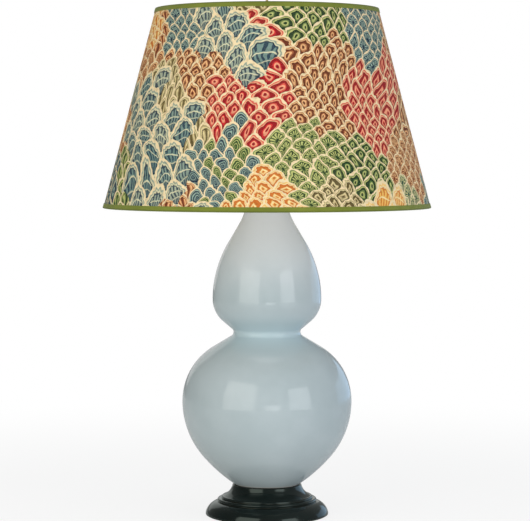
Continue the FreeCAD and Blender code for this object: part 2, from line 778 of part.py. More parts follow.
def make_gourd_cast(label, from_height=None, to_height=None):
    """One of the slip casts of the double gourd, which are luted together round the belly and at
    the waist. Each is turned from the whole gourd's outline of even wall, and cut off where it
    starts and ends. The belly and the upper gourd are each two circles that share a widest point,
    and straight lines run smoothly from them into the small circle of the waist and the large one
    of the neck."""
    body = new_body(label)
    sketch = new_sketch(body, "profile")
    bottom = S.seat_height + S.gasket_thickness
    floor = bottom + S.ceramic_floor
    foot = (S.bowl_foot_radius.value, bottom.value)

    outer, inner = gourd_rounds(0 * S.ceramic_wall), gourd_rounds(S.ceramic_wall)
    centre, meeting = bowl_circle(outer[0], foot)
    bowl = add_arc(sketch, (centre.x, centre.y), S.bowl_radius.value, foot, (meeting.x, meeting.y), 1)
    set_radius(sketch, bowl.geometry, S.bowl_radius)
    pin(sketch, bowl.geometry, bowl.start, S.bowl_foot_radius, bottom)
    outside = draw_chain(sketch, outer, (meeting.x, meeting.y), outer[-1].at(180))
    join(sketch, bowl, outside[0], "Tangent")
    pin(sketch, outside[-1].geometry, outside[-1].end, y=S.neck_height)

    # The inside of the bowl keeps the outside's centre, so the wall stays even down to the floor.
    inner_radius = S.bowl_radius - S.ceramic_wall
    shrink = inner_radius.value / S.bowl_radius.value
    inner_meeting = centre + (meeting - centre) * shrink
    rise = floor.value - centre.y
    floor_edge = (centre.x + math.sqrt(inner_radius.value**2 - rise**2), floor.value)
    inner_end = (inner_meeting.x, inner_meeting.y)
    shell = add_arc(
        sketch, (centre.x, centre.y), inner_radius.value, floor_edge, inner_end, 1
    )
    set_radius(sketch, shell.geometry, inner_radius)
    ends = (bowl.geometry, 3, shell.geometry, 3)
    sketch.addConstraint(Sketcher.Constraint("Vertical", *ends))
    pin(sketch, shell.geometry, shell.start, y=floor)
    inside = draw_chain(sketch, inner, inner_end, inner[-1].at(180))
    join(sketch, shell, inside[0], "Tangent")
    pin(sketch, inside[-1].geometry, inside[-1].end, y=S.neck_height)

    # Rim of the neck, then floor, hole and underside.
    lip = add_line(sketch, outer[-1].at(180), inner[-1].at(180))
    join(sketch, outside[-1], lip)
    sketch.addConstraint(
        Sketcher.Constraint("Coincident", lip.geometry, 2, inside[-1].geometry, inside[-1].end)
    )
    hole = S.ceramic_hole.value
    top = add_line(sketch, floor_edge, (hole, floor.value))
    side = add_line(sketch, (hole, floor.value), (hole, bottom.value))
    under = add_line(sketch, (hole, bottom.value), foot)
    sketch.addConstraint(
        Sketcher.Constraint("Coincident", top.geometry, 1, shell.geometry, shell.start)
    )
    join(sketch, top, side)
    join(sketch, side, under)
    join(sketch, under, bowl)
    pin(sketch, side.geometry, 1, S.ceramic_hole, floor)
    pin(sketch, side.geometry, 2, S.ceramic_hole, bottom)
    revolve(body, sketch)

    for side, height in (("below", from_height), ("above", to_height)):
        if height is not None:
            other_cast = new_sketch(body, side, "XY_Plane", height)
            draw_circle(other_cast, 0, 0, S.belly_width + S.ceramic_wall)
            pocket(body, other_cast, "cut_" + side, backwards=side == "above")


# ---------------------------------------------------------------- neck


def make_neck_gasket():
    inner = S.neck_width - S.ceramic_wall + 0.5
    outer = S.neck_width - 0.5
    ring("neck_gasket", inner, outer, S.neck_height, S.neck_height + S.gasket_thickness)


def make_neck_cap():
    """Spun cap that closes the neck of the gourd: a short skirt round the rim, a hollow curve up
    to a flat top, and the same curve again inside."""
    seat = S.neck_height + S.gasket_thickness
    skirt = S.neck_width + S.cap_skirt_gap
    wall = S.cap_wall
    turned(
        "neck_cap",
        [
            (skirt, S.neck_height - S.cap_skirt_drop),
            (S.cap_skirt, S.neck_height - S.cap_skirt_drop),
            (S.cap_skirt, seat + 1),
            bulge(1.5),
            (S.cap_skirt - 1.5, seat + wall + 0.4),
            hollow(S.cap_curve),
            (S.cap_top_radius + 1, S.cap_top - 1),
            bulge(1),
            (S.cap_top_radius, S.cap_top),
            (S.pipe_clearance, S.cap_top),
            (S.pipe_clearance, S.cap_top - wall),
            (S.cap_top_radius - 1, S.cap_top - wall),
            bulge(S.cap_curve),
            (S.neck_width - S.ceramic_wall, seat + wall),
            (S.neck_width - S.ceramic_wall, seat),
            (skirt, seat),
        ],
    )


def make_neck_column():
    """Turned spool between the neck cap and the harp saddle."""
    low, high, edge = S.cap_top, S.column_top, S.column_flange
    turned(
        "neck_column",
        [
            (S.pipe_clearance, low),
            (S.column_foot, low),
            (S.column_foot, low + edge),
            hollow(4.6),
            (S.column_waist, low + edge * 4),
            (S.column_waist, high - edge * 3),
            hollow(3.4),
            (S.column_head, high - edge),
            (S.column_head, high),
            (S.pipe_clearance, high),
        ],
    )


# ---------------------------------------------------------------- saddle and harp


def make_saddle():
    """Bent strip with a round middle. Each arm turns up into a narrower ear that a harp leg
    stands beside, and the sleeves rest on its shoulders."""
    body = new_body("harp_saddle")
    low, top = S.saddle_bottom, S.saddle_bottom + S.saddle_thickness
    outside = S.ear_inside + S.saddle_thickness
    bend = S.ear_inside - S.saddle_bend
    rise = top + S.saddle_bend
    strip = new_sketch(body, "strip_sketch")
    draw_outline(
        strip,
        [
            (0, low),
            (bend, low),
            bulge(S.saddle_bend + S.saddle_thickness),
            (outside, rise),
            (outside, S.ear_top),
            (S.ear_inside, S.ear_top),
            (S.ear_inside, rise),
            hollow(S.saddle_bend),
            (bend, top),
            (0, top),
        ],
    )
    arm = pad(body, strip, S.saddle_arm, "arm", middle=True)
    shoulders = new_sketch(body, "shoulder_sketch", "YZ_Plane")
    draw_box(shoulders, S.ear_width / 2, S.saddle_arm, S.ear_shoulder, S.ear_top + 1)
    cut = pocket(body, shoulders, "shoulder", backwards=True)
    other = new_sketch(body, "other_shoulder_sketch", "YZ_Plane")
    draw_box(other, -S.saddle_arm, -S.ear_width / 2, S.ear_shoulder, S.ear_top + 1)
    other_cut = pocket(body, other, "other_shoulder", backwards=True)
    mirror(body, [arm, cut, other_cut])
    hub = new_sketch(body, "hub_sketch", "XY_Plane", low)
    draw_circle(hub, 0, 0, S.saddle_hub)
    pad(body, hub, S.saddle_thickness, "hub")
    drill(body, 0, 0, S.pipe_clearance, "hole", "XY_Plane", low - 1, backwards=True)


def make_harp():
    """Wire harp: one half is a pipe along a smooth path of circles and straight runs, and the
    other half mirrors it. A flat tab with a hole joins the two at the top."""
    body = new_body("harp")
    middle = S.tab_bottom + S.tab_thickness / 2
    rounds = [
        narrowest(S.leg_offset, S.harp_bend_height, S.harp_bend),
        widest(S.harp_width, S.harp_wide_height, S.harp_lower_curve),
        widest(S.harp_width, S.harp_wide_height, S.harp_side_curve),
        Round(S.harp_shoulder_offset, middle - S.harp_shoulder, S.harp_shoulder, 1),
    ]
    start, end = rounds[0].at(180), rounds[-1].at(90)
    path = new_sketch(body, "path")
    leg = add_line(path, (S.leg_offset.value, S.leg_bottom.value), start)
    curve = draw_chain(path, rounds, start, end)
    top = add_line(path, end, (S.harp_top_end.value, middle.value))
    pin(path, leg.geometry, 1, S.leg_offset, S.leg_bottom)
    pin(path, curve[0].geometry, curve[0].start, y=S.harp_bend_height)
    join(path, leg, curve[0])
    pin(path, curve[-1].geometry, curve[-1].end, x=S.harp_shoulder_offset)
    join(path, curve[-1], top)
    pin(path, top.geometry, 2, S.harp_top_end, middle)
    section = new_sketch(body, "section", "XY_Plane", S.leg_bottom)
    draw_circle(section, S.leg_offset, 0, S.wire_radius)
    wire = feature(body, "AdditivePipe", "wire", section, Spine=path)
    end = new_sketch(body, "tab_sketch", "XY_Plane", S.tab_bottom)
    draw_circle(end, 0, 0, S.tab_radius)
    tab = pad(body, end, S.tab_thickness, "tab")
    mirror(body, [wire, tab])
    hole = S.stud_shank + S.stud_clearance
    drill(body, 0, 0, hole, "stud_hole", "XY_Plane", S.tab_bottom - 1, backwards=True)


def make_sleeve(label, side):
    """Locking sleeve that drops over a harp leg and a saddle ear, with a rolled lower edge."""
    long, edge = S.sleeve_length, S.sleeve_radius - S.sleeve_bore
    body = turned(
        label,
        [
            (S.sleeve_bore, 0),
            (S.sleeve_radius, 0),
            bulge(edge),
            (S.sleeve_radius, edge * 1.6),
            (S.sleeve_radius - edge / 3, edge * 2.2),
            (S.sleeve_radius - edge / 3, long - edge),
            (S.sleeve_bore + edge / 3, long),
            (S.sleeve_bore, long),
        ],
    )
    place(body, Rotation(), x=S.sleeve_offset * side, z=S.ear_shoulder)


def make_harp_stud():
    """Stud riveted through the harp's tab so that it can turn: head, shank, flange and post."""
    under = S.tab_bottom
    seat = S.hub_bottom
    flange = under + S.tab_thickness + S.stud_clearance
    post = seat + S.stud_post
    bevel = S.stud_thread / 5
    turned(
        "harp_stud",
        [
            (0, under - S.stud_clearance - S.stud_head_height),
            dome(S.stud_head, S.stud_head_height),
            (S.stud_head, under - S.stud_clearance),
            (S.stud_shank, under - S.stud_clearance),
            (S.stud_shank, flange),
            (S.stud_flange, flange),
            (S.stud_flange, seat),
            (S.stud_thread, seat),
            (S.stud_thread, post - bevel),
            (S.stud_thread - bevel, post),
            (0, post),
        ],
    )


# ---------------------------------------------------------------- lamp holder and switch


def make_holder_cap():
    """Spun cap of the lamp holder: a collar screwed on the pipe, a flare and an upright cup."""
    sheet = S.holder_sheet
    body = turned(
        "holder_cap",
        [
            (S.nut_bore, S.holder_bottom),
            (S.holder_collar - 0.6, S.holder_bottom),
            (S.holder_collar, S.holder_bottom + 0.6),
            (S.holder_collar, S.holder_collar_top),
            hollow(12),
            (S.holder_cup - 1.4, S.holder_cup_rise - 1.6),
            bulge(2),
            (S.holder_cup, S.holder_cup_rise),
            (S.holder_cup, S.holder_cup_top),
            (S.holder_cup - sheet, S.holder_cup_top),
            (S.holder_cup - sheet, S.holder_cup_rise),
            hollow(1.6),
            (S.holder_cup - 1.4 - sheet, S.holder_cup_rise - 1.2),
            bulge(12),
            (S.holder_collar, S.holder_collar_top + 1.4),
            (S.nut_bore, S.holder_collar_top + 1.4),
        ],
    )
    drill(body, 0, S.set_screw_height, 1.3, "set_screw_hole", "XZ_Plane")


def screw(length, head, shank, head_height, label, count=1):
    """Slotted round-head screw along +Z, with the underside of its head at 0."""
    body = turned(
        label,
        [
            (0, -length),
            (shank - 0.3, -length),
            (shank, -length + 0.3),
            (shank, 0),
            (head, 0),
            (head, head_height / 2),
            bulge(head_height),
            (head - head_height / 2, head_height),
            (0, head_height),
        ],
    )
    slot = new_sketch(body, "slot_sketch", "XY_Plane", head_height / 2)
    draw_box(slot, -head * 1.2, head * 1.2, -head / 8, head / 8)
    pocket(body, slot, "slot", backwards=True)
    return body


def make_set_screw():
    """Screw in the collar of the holder cap, which stops it turning on the pipe."""
    gap = size(0.02)
    length = S.holder_collar - S.pipe_radius - gap
    body = screw(length, size(2.2), size(1.3), size(1.4), "cap_set_screw")
    place(body, TO_BACK, y=S.holder_collar, z=S.set_screw_height)


def make_holder_shell():
    """Drawn shell of the lamp holder: a bead above the cap, a second bead and a rolled mouth."""
    outer, inner, out = S.shell_radius, S.shell_radius - S.shell_sheet, S.shell_bead
    low_bead, high_bead = S.holder_cup_top + 1, S.shell_top - 12
    roll = out + S.shell_sheet / 2
    body = turned(
        "holder_shell",
        [
            (inner, S.shell_bottom),
            (outer, S.shell_bottom),
            (outer, low_bead),
            bulge(1.1),
            (outer, low_bead + 1.6),
            (outer, high_bead),
            bulge(1.1),
            (outer, high_bead + 1.6),
            (outer, S.shell_top - roll * 2),
            bulge(roll * 1.05),
            (outer, S.shell_top),
            (inner, S.shell_top),
        ],
    )
    drill(body, 0, S.switch_height, S.stem_radius * 2, "stem_hole", "XZ_Plane", backwards=True)


def make_holder_liner():
    """Insulating liner, which stands a little out of the shell's mouth."""
    inner = S.liner_radius - S.liner_sheet
    body = ring("holder_liner", inner, S.liner_radius, S.shell_bottom + 0.5, S.liner_top)
    drill(body, 0, S.switch_height, S.stem_radius * 2, "stem_hole", "XZ_Plane", backwards=True)


def make_holder_core():
    """Moulded insulating core, with flats for the terminal screws and a bore for the switch."""
    body = turned(
        "holder_core",
        [
            (0, S.core_bottom),
            (S.core_radius - 4, S.core_bottom),
            (S.core_radius - 1, S.core_bottom + 5),
            (S.core_radius, S.core_bottom + 6),
            (S.core_radius, S.core_top),
            (0, S.core_top),
        ],
    )
    reach = S.core_radius + 1
    for side, name in ((1, "right"), (-1, "left")):
        flat = new_sketch(body, name + "_flat_sketch", "XY_Plane", S.terminal_height + 5)
        near, far = S.core_flat * side, reach * side
        left, right = (near, far) if side > 0 else (far, near)
        draw_box(flat, left, right, -reach, reach)
        pocket(body, flat, name + "_flat")
        drill(
            body, 0, S.terminal_height, S.terminal_shank, name + "_tap", "YZ_Plane",
            S.core_flat * side, backwards=side < 0, depth=5,
        )
    stem_bore = S.stem_radius + S.stem_clearance
    at = S.stem_inner_end - 1
    drill(body, 0, S.switch_height, stem_bore, "stem_bore", "XZ_Plane", at, backwards=True)


def make_terminal_screws():
    """The two terminal screws, which share one node."""
    right = screw(size(4.5), S.terminal_head, S.terminal_shank, size(1.6), "right_terminal")
    sub_parts.remove(right)
    place(right, TO_RIGHT, x=S.core_flat, z=S.terminal_height)
    left = doc.addObject("Part::Mirroring", "left_terminal")
    left.Source = right
    left.Normal = (1, 0, 0)
    pair = doc.addObject("Part::Compound", "Compound_terminal_screws")
    pair.Links = [right, left]
    pair.Label = "terminal_screws"
    sub_parts.append(pair)


def make_screw_shell():
    """Shell that the bulb screws into, with a turned-in floor."""
    bore, outer = S.screw_shell_bore, S.screw_shell_radius
    sheet = outer - bore
    turned(
        "screw_shell",
        [
            (S.contact_radius + 2, S.core_top),
            (outer, S.core_top),
            (outer, S.screw_shell_top),
            (bore, S.screw_shell_top),
            (bore, S.core_top + sheet),
            (S.contact_radius + 2, S.core_top + sheet),
        ],
    )


def make_centre_contact():
    turned(
        "centre_contact",
        [
            (0, S.core_top),
            (S.contact_radius, S.core_top),
            dome(S.contact_radius, S.contact_top - S.core_top),
            (0, S.contact_top),
        ],
    )


def make_switch():
    """Switch stem, and the fluted knob that is pressed on its outer end."""
    stem = turned(
        "switch_stem",
        [
            (0, S.stem_inner_end),
            (S.stem_radius, S.stem_inner_end),
            (S.stem_radius, S.stem_outer_end),
            (0, S.stem_outer_end),
        ],
    )
    place(stem, TO_FRONT, z=S.switch_height)
    low = S.knob_inner_end
    high = low + S.knob_length
    grip = low + S.knob_length / 4
    knob = turned(
        "switch_knob",
        [
            (S.stem_radius, low),
            (S.knob_radius * 0.7, low),
            (S.knob_radius * 0.7, low + 1.5),
            hollow(3),
            (S.knob_radius, grip),
            (S.knob_radius, high - 2),
            bulge(2),
            (S.knob_radius - 2, high),
            dome(S.knob_radius - 2, 0.6),
            (0, high + 0.6),
            (0, S.stem_outer_end),
            (S.stem_radius, S.stem_outer_end),
        ],
    )
    flute = new_sketch(knob, "flute_sketch", "XY_Plane", grip - 2)
    draw_circle(flute, S.knob_radius + 0.35, 0, S.knob_radius / 9)
    repeat_round(knob, pocket(knob, flute, "flute", backwards=True), S.knob_flutes)
    place(knob, TO_FRONT, z=S.switch_height)


# ---------------------------------------------------------------- bulb


def make_bulb():
    """Screw-cap bulb: glass, metal cap, insulator and tip contact."""
    body = new_body("bulb_glass")
    sketch = new_sketch(body, "profile")
    globe = S.bulb_globe_height

    def side(inset):
        return [
            narrowest(S.bulb_neck - inset, S.bulb_neck_top, S.bulb_flare + inset),
            Round(0, globe, S.bulb_globe - inset, 1),
        ]

    outer, inner = side(0 * S.bulb_glass), side(S.bulb_glass)
    edges = []
    for rounds in (outer, inner):
        start, end = rounds[0].at(180), rounds[-1].at(90)
        neck = add_line(sketch, (start[0], S.bulb_neck_bottom.value), start)
        curve = draw_chain(sketch, rounds, start, end)
        pin(sketch, neck.geometry, 1, rounds[0].x - rounds[0].radius, S.bulb_neck_bottom)
        pin(sketch, curve[0].geometry, curve[0].start, y=S.bulb_neck_top)
        join(sketch, neck, curve[0])
        pin(sketch, curve[-1].geometry, curve[-1].end, x=0)
        edges.append((neck, curve[-1], start, end))
    (neck, crown, start, end), (inner_neck, inner_crown, inner_start, inner_end) = edges
    low = S.bulb_neck_bottom.value
    rim = add_line(sketch, (inner_start[0], low), (start[0], low))
    axis = add_line(sketch, end, inner_end)
    for a, b in ((rim, inner_neck), (axis, crown)):
        place_of_b = b.start if b is inner_neck else b.end
        ends = (a.geometry, 1, b.geometry, place_of_b)
        sketch.addConstraint(Sketcher.Constraint("Coincident", *ends))
    join(sketch, rim, neck)
    ends = (axis.geometry, 2, inner_crown.geometry, inner_crown.end)
    sketch.addConstraint(Sketcher.Constraint("Coincident", *ends))
    revolve(body, sketch)

    outer_cap, sheet = S.bulb_cap_radius, S.bulb_cap_sheet
    turned(
        "bulb_cap",
        [
            (outer_cap - 2, S.bulb_cap_bottom),
            (outer_cap, S.bulb_cap_bottom + 2),
            (outer_cap, S.bulb_cap_top),
            (outer_cap - sheet, S.bulb_cap_top),
            (outer_cap - sheet, S.bulb_cap_bottom + 2),
            (outer_cap - 2 - sheet, S.bulb_cap_bottom),
        ],
    )
    tip = S.bulb_tip + 1.5
    turned(
        "bulb_insulator",
        [
            (0, tip),
            (4.6, tip),
            (outer_cap - 2.6, S.bulb_cap_bottom - 0.6),
            (outer_cap - 2 - sheet, S.bulb_cap_bottom),
            (0, S.bulb_cap_bottom),
        ],
    )
    turned(
        "bulb_contact",
        [(0, S.bulb_tip), dome(4.2, 1.5), (4.2, tip), (0, tip)],
    )


# ---------------------------------------------------------------- shade


def shade_width(height):
    """Radius of the fabric's outer face at a height."""
    fall = (S.shade_bottom_radius - S.shade_top_radius) / (S.shade_top - S.shade_bottom)
    return S.shade_bottom_radius - fall * (height - S.shade_bottom)


def cone_layer(label, outset, thickness):
    """A layer of the cone, outset from the fabric's outer face and that thick, level."""
    low, high = S.shade_bottom, S.shade_top
    turned(
        label,
        [
            (S.shade_bottom_radius + outset - thickness, low),
            (S.shade_bottom_radius + outset, low),
            (S.shade_top_radius + outset, high),
            (S.shade_top_radius + outset - thickness, high),
        ],
    )


def ring_width(height):
    """Radius of the middle of a ring's wire that lies against the backing at a height."""
    inner_face = shade_width(height) - S.fabric_thickness - S.backing_thickness
    return inner_face - S.ring_gap - S.ring_radius * 1.035


def make_bottom_ring():
    torus = doc.addObject("Part::Torus", "Torus_bottom_ring")
    height = S.shade_bottom + S.ring_inset
    torus.setExpression("Radius1", ring_width(height).text)
    torus.setExpression("Radius2", S.ring_radius.text)
    torus.setExpression("Placement.Base.z", height.text)
    torus.Label = "bottom_ring"
    sub_parts.append(torus)


def make_top_frame():
    """Brazed wire frame in the top of the shade: a washer, three sloping spokes and the ring."""
    body = new_body("top_frame")
    height = S.shade_top - S.ring_inset
    wide = ring_width(height)
    middle = S.hub_bottom + S.hub_thickness / 2
    hub = new_sketch(body, "hub_sketch")
    draw_box(hub, S.hub_bore, S.hub_radius, S.hub_bottom, S.hub_bottom + S.hub_thickness)
    revolve(body, hub, "hub")
    section = new_sketch(body, "spoke_section", offset=-S.spoke_start)
    draw_circle(section, 0, middle, S.spoke_radius)
    path = new_sketch(body, "spoke_path", "YZ_Plane")
    line = add_line(path, (S.spoke_start.value, middle.value), (wide.value, height.value))
    pin(path, line.geometry, 1, S.spoke_start, middle)
    pin(path, line.geometry, 2, wide, height)
    spoke = feature(body, "AdditivePipe", "spoke", section, Spine=path)
    repeat_round(body, spoke, 3, "spokes")
    wire = new_sketch(body, "ring_section")
    draw_circle(wire, wide, height, S.ring_radius)
    revolve(body, wire, "ring")


def make_trim(label, edge, up):
    """Tape folded over an edge of the shade, from the outside to behind the wire ring. up is +1
    at the lower edge, where the tape runs up the shade, and -1 at the upper edge."""
    tape = S.trim_thickness
    outer_end = edge + S.trim_height * up
    inner_end = edge + S.trim_return * up
    fold = edge - tape * up
    wire = edge + S.ring_inset * up
    inside = ring_width(wire) - S.ring_radius - S.ring_gap
    outline = [
        (shade_width(outer_end), outer_end),
        (shade_width(edge), edge),
        (inside, edge),
        (inside, inner_end),
        (inside - tape, inner_end),
        (inside - tape, fold),
        (shade_width(edge) + tape, fold),
        (shade_width(outer_end) + tape, outer_end),
    ]
    if up < 0:
        outline.reverse()
    return turned(label, outline)


def make_top_trim():
    """The upper tape, notched where the three spokes pass."""
    body = make_trim("top_trim", S.shade_top, -1)
    wire = S.shade_top - S.ring_inset
    wide = ring_width(wire)
    gap = S.spoke_radius + 0.3
    notch = new_sketch(body, "notch_sketch", "XY_Plane", wire + gap)
    draw_box(notch, -gap, gap, wide - S.ring_radius * 2.5, wide - S.ring_radius / 2)
    repeat_round(body, pocket(body, notch, "notch"), 3, "notches")


# ---------------------------------------------------------------- finial


def make_finial():
    """Brass foot, tapped for the stud, and the turned knob above it."""
    seat = S.hub_bottom + S.hub_thickness
    foot_top = S.finial_foot_top
    turned(
        "finial_foot",
        [
            (S.finial_bore, seat),
            (S.finial_foot, seat),
            (S.finial_foot, seat + 1.2),
            hollow(3.2),
            (S.finial_foot - 3, foot_top - 0.8),
            (S.finial_foot - 2.4, foot_top),
            (S.finial_bore, foot_top),
        ],
    )
    ball, middle, tip = S.finial_ball, S.finial_ball_height, S.finial_tip
    turned(
        "finial_knob",
        [
            (S.finial_bore, foot_top),
            (S.finial_foot - 2.4, foot_top),
            (S.finial_foot - 2.4, foot_top + 1),
            (ball * 0.6, foot_top + 1.6),
            (ball * 0.6, middle - ball * 0.8),
            bulge(ball),
            (ball * 5 / 13, middle + ball * 12 / 13),
            (tip, S.finial_top - tip * 1.3),
            (tip, S.finial_top - tip),
            dome(tip, tip),
            (0, S.finial_top),
            (0, S.finial_bore_top),
            (S.finial_bore, S.finial_bore_top),
        ],
    )


# ---------------------------------------------------------------- the whole lamp


def build():
    turned(
        "felt_pad",
        [(0, 0), (S.felt_radius, 0), (S.felt_radius, S.felt_thickness), (0, S.felt_thickness)],
    )
    make_foot()
    make_cord_bushing()
    make_clamp_plate()
    make_lock_washer()
    under_plate = S.seat_height - S.deck_thickness - S.clamp_thickness - S.star_thickness
    make_hex_nut("bottom_nut", under_plate - S.nut_thickness, S.nut_thickness)
    make_pipe()
    make_seat_gasket()
    make_gourd_cast("gourd_body", to_height=S.belly_height)
    make_gourd_cast("gourd_shoulder", from_height=S.belly_height, to_height=S.waist_height)
    make_gourd_cast("gourd_top", from_height=S.waist_height)
    make_neck_gasket()
    make_neck_cap()
    make_neck_column()
    make_hex_nut("neck_nut", S.column_top, S.neck_nut_thickness)
    make_saddle()
    make_harp()
    make_sleeve("right_sleeve", 1)
    make_sleeve("left_sleeve", -1)
    make_harp_stud()
    make_holder_cap()
    make_set_screw()
    make_holder_shell()
    make_holder_liner()
    make_holder_core()
    make_terminal_screws()
    make_screw_shell()
    make_centre_contact()
    make_switch()
    make_bulb()
    cone_layer("shade_fabric", size(0), S.fabric_thickness)
    cone_layer("shade_backing", -S.fabric_thickness, S.backing_thickness)
    make_bottom_ring()
    make_top_frame()
    make_trim("bottom_trim", S.shade_bottom, 1)
    make_top_trim()
    make_finial()


def check_and_export():
    """Stops at a failed object or a bad shape, and otherwise writes each sub-part."""
    doc.recompute()
    for item in doc.Objects:
        if "Invalid" in item.State or "Error" in item.State:
            raise RuntimeError(f"{item.Name} failed: {item.State}")
    for part in sub_parts:
        shape = part.Shape
        if shape.isNull() or not shape.isValid() or not shape.Solids:
            raise RuntimeError(f"{part.Label} has no sound solid")
    os.makedirs("parts", exist_ok=True)
    for part in sub_parts:
        part.Shape.exportStep(f"parts/{part.Label}.step")
    print(f"{len(sub_parts)} sub-parts written")


build()
check_and_export()
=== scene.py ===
# Double gourd table lamp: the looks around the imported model, in metres.
#
# The model's own solids keep their shapes and get detailed materials. The shade's cover, its two
# tapes and the felt under the foot are made here as cloth. +Z is up and -Y is the front.

import math
import random

import bpy
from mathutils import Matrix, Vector


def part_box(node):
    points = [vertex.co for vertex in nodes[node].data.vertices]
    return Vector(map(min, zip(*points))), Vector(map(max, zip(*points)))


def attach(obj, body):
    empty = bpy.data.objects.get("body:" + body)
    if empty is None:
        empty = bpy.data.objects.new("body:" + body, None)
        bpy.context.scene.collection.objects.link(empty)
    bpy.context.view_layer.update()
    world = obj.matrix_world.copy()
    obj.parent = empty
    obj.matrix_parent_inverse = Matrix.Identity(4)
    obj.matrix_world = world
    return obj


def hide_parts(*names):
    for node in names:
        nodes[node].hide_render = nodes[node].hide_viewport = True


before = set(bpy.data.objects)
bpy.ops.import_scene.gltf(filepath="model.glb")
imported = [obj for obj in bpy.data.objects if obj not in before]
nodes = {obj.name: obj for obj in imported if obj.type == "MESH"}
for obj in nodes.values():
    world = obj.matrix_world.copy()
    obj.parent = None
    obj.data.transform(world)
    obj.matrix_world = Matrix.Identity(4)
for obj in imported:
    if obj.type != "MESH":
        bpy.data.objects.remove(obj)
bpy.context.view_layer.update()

# The photograph's frame, and the camera that fits the lamp's outline in it
IMAGE_WIDTH = 530
FOCAL_PIXELS = 2136
CAMERA_DISTANCE = 3.139
CAMERA_HEIGHT = 0.541
CAMERA_PITCH = 0.0523
CAMERA_ASIDE = -0.0029

# Shade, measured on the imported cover: a cone cut off at both ends
SHADE_LOW, SHADE_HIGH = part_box("shade_fabric")
SHADE_BOTTOM = SHADE_LOW[2]
SHADE_TOP = SHADE_HIGH[2]
BOTTOM_RADIUS = SHADE_HIGH[0]
TOP_RADIUS = 0.1628
SLANT = math.hypot(BOTTOM_RADIUS - TOP_RADIUS, SHADE_TOP - SHADE_BOTTOM)
SINE = (BOTTOM_RADIUS - TOP_RADIUS) / SLANT
COSINE = (SHADE_TOP - SHADE_BOTTOM) / SLANT
TIP_TO_TOP = TOP_RADIUS / SINE
COVER_THICKNESS = 0.0006
COVER_OVERLAP = 0.012
GLUE = 0.0001
SEAM_ANGLE = math.radians(90)

# Folded tape along both edges of the shade
SHADE_WALL = 0.0014
TAPE_THICKNESS = 0.0008
TAPE_OUTSIDE = 0.0065
TAPE_INSIDE = 0.0056
TAPE_SELVEDGE = 0.0004
TAPE_INSET = 0.0002
TAPE_OVERLAP = 0.008
TAPE_LAP_RISE = 0.0003
TAPE_LAP_ANGLE = 0.02
TAPE_START = SEAM_ANGLE - 0.03

# Felt under the foot: how much smaller it is cut than its recess
FELT_INSET = 0.0003

# Printed design: scales of two sizes, by radius and stretched upwards, gathered in patches
SMALL_SCALE = 0.0112
LARGE_SCALE = 0.0190
SCALE_RISE = 1.3
SMALL_PATCH = 0.092
LARGE_PATCH = 0.150

# Threads of the linen, of the weave pressed through the backing, and ribs of the tape
WEAVE_PITCH = 0.0007
PRESSED_WEAVE_PITCH = 0.0009
RIB_PITCH = 0.0008

# Heights on the gourd where its colour changes: the glaze at the rims, belly and waist, and painted
# light on the neck and, in part, in the waist
FOOT_RIM = (0.0475, 0.0505)
LOW_BELLY = (0.05, 0.15)
WAIST = 0.2714
WAIST_REACH = 0.04
PAINTED_LIGHT_NECK = (0.315, 0.455)
MOUTH_RIM = (0.4715, 0.4738)

# Screw threads: how far each rises in a turn
PIPE_THREAD = 0.00094
BULB_THREAD = 0.00363

# Round floor, open under the felt: its whiteness goes from the third to the fourth of
# FLOOR_FADE between the first and the second distance
FLOOR_REACH = 3.2
FLOOR_OPENING = 0.08
FLOOR_LEVEL = -0.0002
FLOOR_FADE = (0.35, 1.5, 0.84, 1.0)
WHITE = (1.0, 1.0, 1.0, 1.0)
SEEN_BY_GLOSS = 0.15

# Soft lamps, aimed at a point in the lamp's middle
LIT_POINT = (0, 0, 0.3)
SOFTBOXES = (
    # name, azimuth and elevation in degrees, distance, width, height, level, tint
    ("left_box", -38, 9, 2.0, 1.6, 2.1, 2.5, (1.0, 0.98, 0.91)),
    ("right_box", 45, 6, 2.3, 1.25, 1.7, 2.95, (0.97, 0.98, 1.0)),
    ("low_box", 7, -7, 1.5, 0.5, 0.22, 3.0, (1.0, 1.0, 1.0)),
    ("rim_box", 134, 0, 2.4, 2.1, 1.1, 1.05, (0.46, 0.7, 1.0)),
    ("top_box", 0, 86, 2.2, 1.6, 1.6, 1.1, (1.0, 1.0, 1.0)),
    ("back_box", 192, 14, 2.6, 2.2, 1.4, 0.5, (1.0, 1.0, 1.0)),
)


# ---------------------------------------------------------------- colours and node graphs


def srgb(red, green, blue):
    """A colour given as 0 to 255 on a screen, as the renderer's linear values."""
    def linear(level):
        level /= 255
        return level / 12.92 if level <= 0.04045 else ((level + 0.055) / 1.055) ** 2.4

    return (linear(red), linear(green), linear(blue), 1.0)


class Value:
    """A number in a material's graph. Arithmetic on it adds the nodes that work it out."""

    def __init__(self, graph, socket):
        self.graph = graph
        self.socket = socket

    def math(self, operation, *others):
        return self.graph.math(operation, self, *others)

    def __add__(self, other):
        return self.math("ADD", other)

    def __sub__(self, other):
        return self.math("SUBTRACT", other)

    def __rsub__(self, other):
        return self.graph.math("SUBTRACT", other, self)

    def __mul__(self, other):
        return self.math("MULTIPLY", other)

    def __truediv__(self, other):
        return self.math("DIVIDE", other)

    def __lt__(self, other):
        return self.math("LESS_THAN", other)

    def __gt__(self, other):
        return self.math("GREATER_THAN", other)


